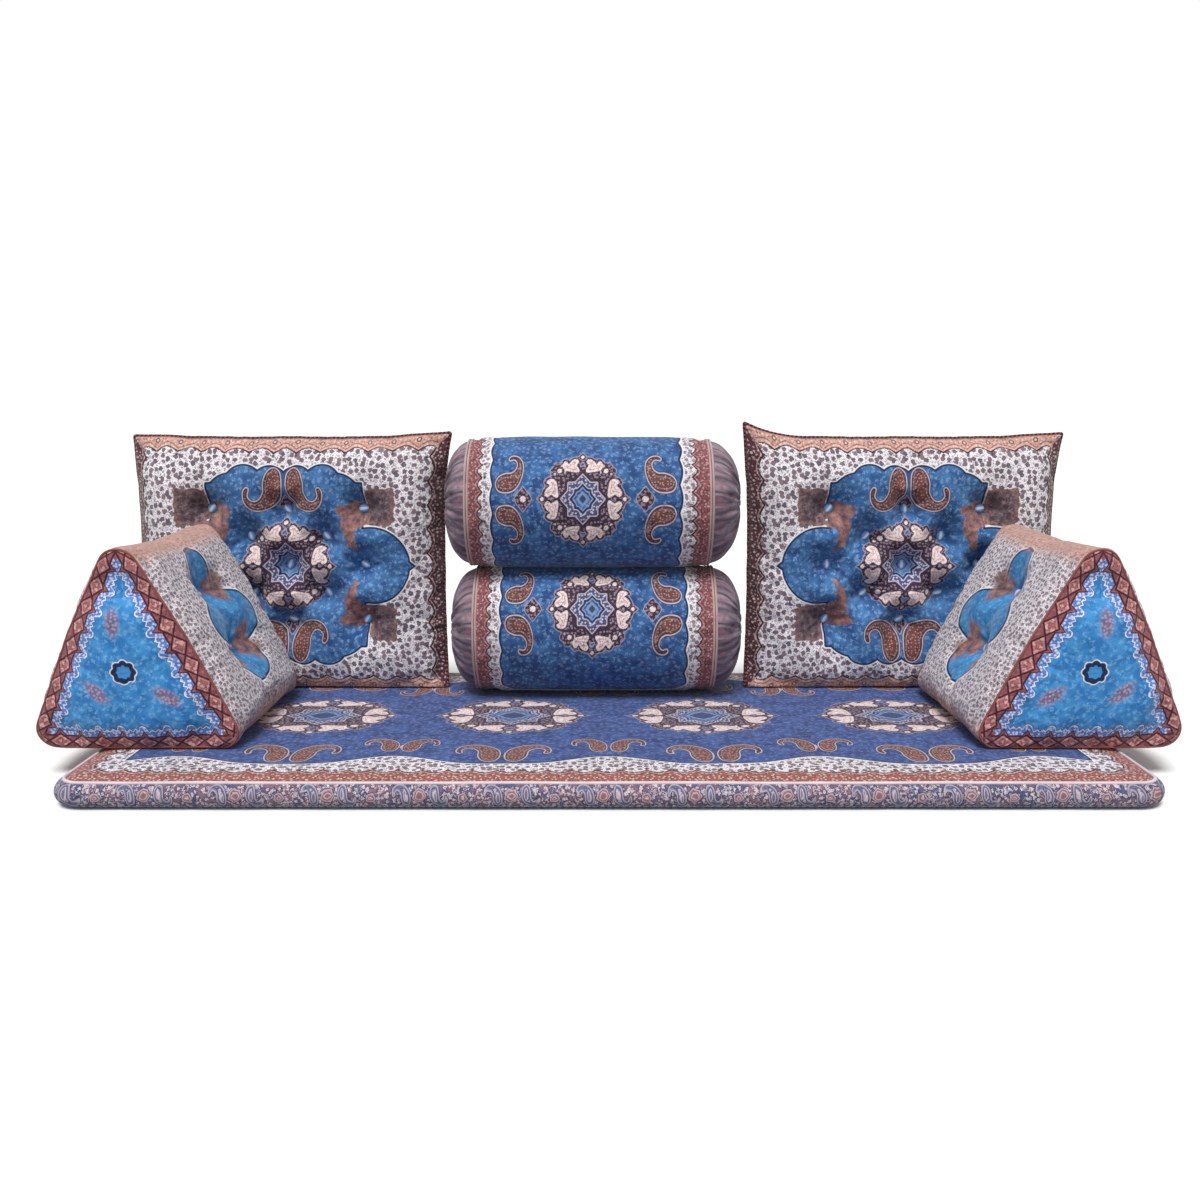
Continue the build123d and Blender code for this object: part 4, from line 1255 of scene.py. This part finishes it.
def bolster(which, seed):
    around = int(2 * math.pi * BOLSTER_RADIUS / COARSE / 4) * 4
    run = np.linspace(-BOLSTER_SEAM, BOLSTER_SEAM, int(2 * BOLSTER_SEAM / COARSE) + 1)
    cap_share = np.array([0.95, 0.89, 0.82, 0.75, 0.67, 0.58, 0.49, 0.4, 0.31, 0.22, 0.14, 0.08])
    cap_out = BOLSTER_CAP * (1 - cap_share**2.6) ** 0.6
    radii = np.concatenate([cap_share[::-1], np.ones(len(run)), cap_share]) * BOLSTER_END_RADIUS
    places = np.concatenate([-BOLSTER_SEAM - cap_out[::-1], run, BOLSTER_SEAM + cap_out])
    caps = len(cap_share)
    radii[caps:-caps] += (BOLSTER_RADIUS - BOLSTER_END_RADIUS) * (1 - (run / BOLSTER_SEAM) ** 4)
    angle = np.arange(around) / around * 2 * math.pi
    rings = stacked(places[:, None], -np.cos(angle) * radii[:, None], np.sin(angle) * radii[:, None])
    kinds = np.array([1] * caps + [0] * (len(run) - 1) + [1] * caps)
    points, faces, slots, index = closed_rings(rings, kinds)
    body = f"bolster_{which}"
    piece = make_piece(f"{body}_cover", points, faces, slots, points)
    held = np.concatenate([index[caps], index[-caps - 1], index[0], index[-1]])
    fill_out(piece, held, 2.0, 0.015, 5)

    # Gathers on the caps, puckers beside the seams and the zip's pocket
    fine, place = refine(piece)
    radius = np.hypot(place[:, 1], place[:, 2])
    turn = np.arctan2(place[:, 2], -place[:, 1])
    to_seam = BOLSTER_SEAM - np.abs(place[:, 0])
    on_cap = to_seam < -1
    folds = np.cos(23 * turn + 2 * np.sin(3 * turn + seed)) + 0.6 * np.cos(37 * turn + 3 * np.sin(2 * turn))
    depth = np.clip((BOLSTER_RADIUS - radius) / 25, 0, 1) * np.clip(radius / 30, 0, 1)
    fine[:, 0] += np.sign(fine[:, 0]) * folds * 2.6 * depth * on_cap
    wander = ripple_noise(place, 130, seed) * 1.6 * np.clip(to_seam / 30, 0, 1)
    puckers = np.cos(turn * 31 + 2 * np.sin(5 * turn)) * 0.9
    wander += puckers * np.exp(-((to_seam / 22) ** 2)) * ~on_cap
    scale = 1 + np.where(on_cap, 0, wander) / BOLSTER_RADIUS
    fine[:, 1:] *= scale[:, None]
    slip = BOLSTER_SLIP[which]
    whole = BOLSTER_SEAM + BOLSTER_CAP
    fine[:, 0] += slip * (1 - (place[:, 0] / whole) ** 2)
    pocket = (fine[:, 1] > 90) & (np.abs(fine[:, 0]) < BOLSTER_ZIP_REACH)
    pocket &= np.abs(fine[:, 2]) < ZIP_POCKET_HALF
    fine[pocket, 1] = BOLSTER_RADIUS + 1 - ZIP_POCKET_DEPTH
    centre = np.array([BOLSTER_X[which], BOLSTER_Y, BOLSTER_Z[which]])
    fine += centre
    low, high = (SEAT_Z + 0.5, BOLSTER_MEET - 0.1) if which == "lower" else (BOLSTER_MEET + 0.4, 1000)
    fine[:, 2] = np.clip(fine[:, 2], low, high)
    write_points(piece.data, fine)

    def print_of(chart):
        return bolster_print(chart, BOLSTER_TURN[which])

    panels = ("wrap", "left_end", "right_end")
    finish_cover(piece, body, (bolster_velvet, satin), (print_of, cap_print), 0.95, *panels)
    angle = np.arange(240) / 240 * 2 * math.pi
    reach = BOLSTER_END_RADIUS + 0.8
    cords = []
    for end in (-1, 1):
        for out in (-2.5, 3.5):
            path = stacked(end * (BOLSTER_SEAM + out), -np.cos(angle) * reach, np.sin(angle) * reach)
            path[:, 0] += slip * (1 - (BOLSTER_SEAM / whole) ** 2)
            path += centre
            path[:, 2] = np.clip(path[:, 2], low + 3, high - 3)
            cords.append(cord_round(f"{body}_seam", path, 2.6))
    piping = joined(cords, f"{body}_double_piping")
    finish_piece(piping, body, "cream_cord", [cream_cord], "piping")
    ends = [centre + [sign * (whole + 1), 0, 0] for sign in (-1, 1)]
    group = domed_buttons(f"{body}_covered_end_buttons", ends, [(-1, 0, 0), (1, 0, 0)], seed)
    finish_piece(group, body, "mauve_end_cloth", [button_satin], "end_buttons")


def rounded_loop(corners, radii, spacing):
    """A closed outline with each corner rounded, at an even spacing."""
    points = []
    corners = [np.array(c, float) for c in corners]
    for k, corner in enumerate(corners):
        before, after = corners[k - 1] - corner, corners[(k + 1) % len(corners)] - corner
        before /= np.linalg.norm(before)
        after /= np.linalg.norm(after)
        half = math.acos(np.clip(before @ after, -1, 1)) / 2
        reach = radii[k] / math.tan(half)
        start, end = corner + before * reach, corner + after * reach
        centre = corner + (before + after) / np.linalg.norm(before + after) * radii[k] / math.sin(half)
        first = math.atan2(*(start - centre)[::-1])
        sweep = (math.atan2(*(end - centre)[::-1]) - first + math.pi) % (2 * math.pi) - math.pi
        for step in range(9):
            angle = first + sweep * step / 8
            points.append(centre + radii[k] * np.array([math.cos(angle), math.sin(angle)]))
    even = dense_path(np.array([(p[0], p[1], 0) for p in points]), spacing)
    return even[: len(even) // 4 * 4]


def tuft_distance(chart, height):
    return np.hypot(chart[:, 1], (chart[:, 2] - height) * 1.12)


def armrest(side, seed):
    half_base = WEDGE_BASE / 2
    belly_x = half_base / 2 + WEDGE_BELLY * WEDGE_HEIGHT / SLOPE_LENGTH
    belly_z = WEDGE_HEIGHT / 2 + WEDGE_BELLY * half_base / SLOPE_LENGTH
    corners = [(-half_base, 0), (half_base, 0), (belly_x, belly_z), (0, WEDGE_HEIGHT), (-belly_x, belly_z)]
    loop = rounded_loop(corners, [WEDGE_CORNER, WEDGE_CORNER, 400, WEDGE_CORNER + 4, 400], COARSE)[:, :2]
    run = np.linspace(-WEDGE_HALF_LENGTH, WEDGE_HALF_LENGTH, int(2 * WEDGE_HALF_LENGTH / COARSE) + 1)
    middle = np.array([0.0, WEDGE_END_MIDDLE])
    shares = np.linspace(1, 0.06, 15)[1:]
    flat_rings = [middle + (loop - middle) * share for share in shares]
    crown = WEDGE_END_CROWN * (1 - shares**2) ** 0.7
    sections = flat_rings[::-1] + [loop] * len(run) + flat_rings
    places = np.concatenate([-WEDGE_HALF_LENGTH - crown[::-1], run, WEDGE_HALF_LENGTH + crown])
    rings = np.stack([stacked(section[:, 0], y, section[:, 1]) for section, y in zip(sections, places)])
    caps = len(shares)
    kinds = np.array([1] * caps + [0] * (len(run) - 1) + [2] * caps)
    points, faces, slots, index = closed_rings(rings, kinds)
    chart = points.copy()
    tied = np.zeros(len(points), bool)
    tufts = [(height, sign) for height in WEDGE_TUFTS for sign in (-1, 1)]
    for height, sign in tufts:
        away = tuft_distance(chart, height)
        mine = np.sign(chart[:, 0]) == sign
        pull = WEDGE_PULL * np.exp(-((away / 34) ** 1.7))
        points[:, 0] -= np.where(mine, sign * pull, 0)
        tied |= mine & (away < KNOT_REACH)
    body = f"armrest_{side}"
    piece = make_piece(f"{body}_cover", points, faces, slots, chart)
    base = np.flatnonzero(chart[:, 2] < 2)
    held = np.unique(np.concatenate([np.flatnonzero(tied), index[caps], index[-caps - 1], base]))
    fill_out(piece, held, 4.2, 0.05, 17)

    # Creases round the tufts and an uneven filling, then the lean, the sagging ridge and the pressed rear
    fine, place = refine(piece)
    pull = np.zeros(len(fine))
    for height in WEDGE_TUFTS:
        away = tuft_distance(place, height)
        turn = np.arctan2(place[:, 2] - height, place[:, 1])
        pleat = np.cos(6 * turn + height) + 0.5 * np.cos(9 * turn)
        pull += pleat * 2.4 * np.exp(-(((away - 34) / 20) ** 2))
    edge = WEDGE_HALF_LENGTH - np.abs(place[:, 1])
    uneven = ripple_noise(place, 110, seed) * 2.2
    fine[:, 0] += np.sign(fine[:, 0]) * (uneven - pull) * np.clip(edge / 40, 0, 1) * (place[:, 2] > 12)
    fine[:, 1] += np.sign(fine[:, 1]) * ripple_noise(place, 80, seed + 1) * 3.5 * (edge < -1)
    fine[:, 1] -= np.maximum(fine[:, 1] - WEDGE_HALF_LENGTH, 0) * REAR_PRESSED
    hand = -1 if side == "left" else 1
    front = np.clip(0.5 - place[:, 1] / WEDGE_HALF_LENGTH / 2, 0, 1)
    fine[:, 0] += hand * WEDGE_LEAN * front * np.clip(fine[:, 2] / 400, 0, 1)
    fine[:, 2] -= RIDGE_SAG * np.clip(1 - (fine[:, 1] / 190) ** 2, 0, 1) * fade(fine[:, 2], 300, 120)
    fine[:, 2] += fade(hand * fine[:, 0], 120, 90) * np.clip(1 - fine[:, 2] / 160, 0, 1) * 6
    fine += [WEDGE_X[side], WEDGE_Y, SEAT_Z + SEAT_GAP]
    fine[:, 2] = np.maximum(fine[:, 2], SEAT_Z + SEAT_CLEAR)
    write_points(piece.data, fine)

    def end_print(chart):
        return wedge_end_print(chart, hand)

    materials, prints = (slope_velvet, end_velvet, end_velvet), (slope_print, end_print, end_print)
    finish_cover(piece, body, materials, prints, 0.85, "wrap", "front_end", "rear_end")
    cords = []
    for sign in (-1, 1):
        on_seam = np.flatnonzero(np.isclose(place[:, 1], sign * WEDGE_HALF_LENGTH, atol=0.05))
        order = np.argsort(np.arctan2(place[on_seam, 2] - WEDGE_END_MIDDLE, place[on_seam, 0]))
        path = fine[on_seam][order]
        path[:, 2] = np.maximum(path[:, 2], SEAT_Z + 3)
        cords.append(cord_round(f"{body}_seam", dense_path(path, 5), 2.4))
    piping = joined(cords, f"{body}_piping_cord")
    finish_piece(piping, body, "terracotta_cord", [armrest_cord], "piping")
    places = []
    for height, sign in tufts:
        near = np.hypot(place[:, 1], place[:, 2] - height) + 1000 * (np.sign(place[:, 0]) != sign)
        places.append(fine[np.argmin(near)] + [sign * 3, 0, 0])
    outwards = [(sign, 0, 0.4) for _, sign in tufts]
    group = domed_buttons(f"{body}_covered_buttons", places, outwards, seed)
    finish_piece(group, body, "blue_button_cloth", [button_cloth], "buttons")


mattress_cover()
for number, name in enumerate(("left", "right")):
    back_cushion(name, 21 + number)
    armrest(name, 31 + number)
for number, name in enumerate(("lower", "upper")):
    bolster(name, 41 + number)

# The pieces that keep their solid: twines in the filling and the zips at the rear
for name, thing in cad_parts.items():
    if "twines" in name:
        material = twine_cloth
    elif name.endswith("_zip"):
        material = tape_cloth
    elif "_zip_" in name:
        material = zip_metal
    else:
        continue
    for place in range(len(thing.data.materials)):
        thing.data.materials[place] = material
    if not thing.data.materials:
        thing.data.materials.append(material)

# Studio: a white floor, an even sky and the photograph's viewing angle
floor_corners = np.array([(-4, -4, 0), (4, -4, 0), (4, 4, 0), (-4, 4, 0)]) * 1e4
floor = add_object("studio_floor", floor_corners, [(0, 1, 2, 3)])
floor_paint = bpy.data.materials.new("studio_paint")
floor_paint.use_nodes = True
tree = floor_paint.node_tree
floor_shader = tree.nodes["Principled BSDF"]
floor_seen = node(tree, "LightPath", {})["Is Camera Ray"]
tree.links.new(blend(tree, floor_seen, "#a8a8a8", "#fbfbfb"), floor_shader.inputs["Base Color"])
floor_shader.inputs["Roughness"].default_value = 0.95
floor.data.materials.append(floor_paint)

world = bpy.data.worlds.new("studio_world")
bpy.context.scene.world = world
world.use_nodes = True
tree = world.node_tree
background = tree.nodes["Background"]
rays = node(tree, "LightPath", {})
seen = reckon(tree, "MAXIMUM", rays["Is Camera Ray"], rays["Is Glossy Ray"])
seen = reckon(tree, "MAXIMUM", seen, rays["Is Transmission Ray"])
strength = node(tree, "Mix", {0: seen, 2: 0.4, 3: 1.0})[0]
tree.links.new(strength, background.inputs["Strength"])
background.inputs["Color"].default_value = (1, 1, 1, 1)

# One broad light high in front, so that the tufts and the undersides fall into soft shade
lamp = bpy.data.lights.new("high_softbox", "SUN")
lamp.energy = 2.8
lamp.angle = math.radians(24)
light = bpy.data.objects.new("high_softbox", lamp)
light.rotation_euler = (math.radians(28), 0, math.radians(-12))
bpy.context.scene.collection.objects.link(light)

# The camera that was fitted to the photograph, in metres
camera_data = bpy.data.cameras.new("camera")
camera_data.sensor_width = 36
camera_data.lens = 32.88
camera = bpy.data.objects.new("camera", camera_data)
camera.location = (-0.0174, -2.290, 0.727)
camera.rotation_euler = (math.radians(90 - 10.303), 0, 0)
bpy.context.scene.collection.objects.link(camera)
bpy.context.scene.camera = camera
bpy.context.scene.view_settings.view_transform = "Standard"
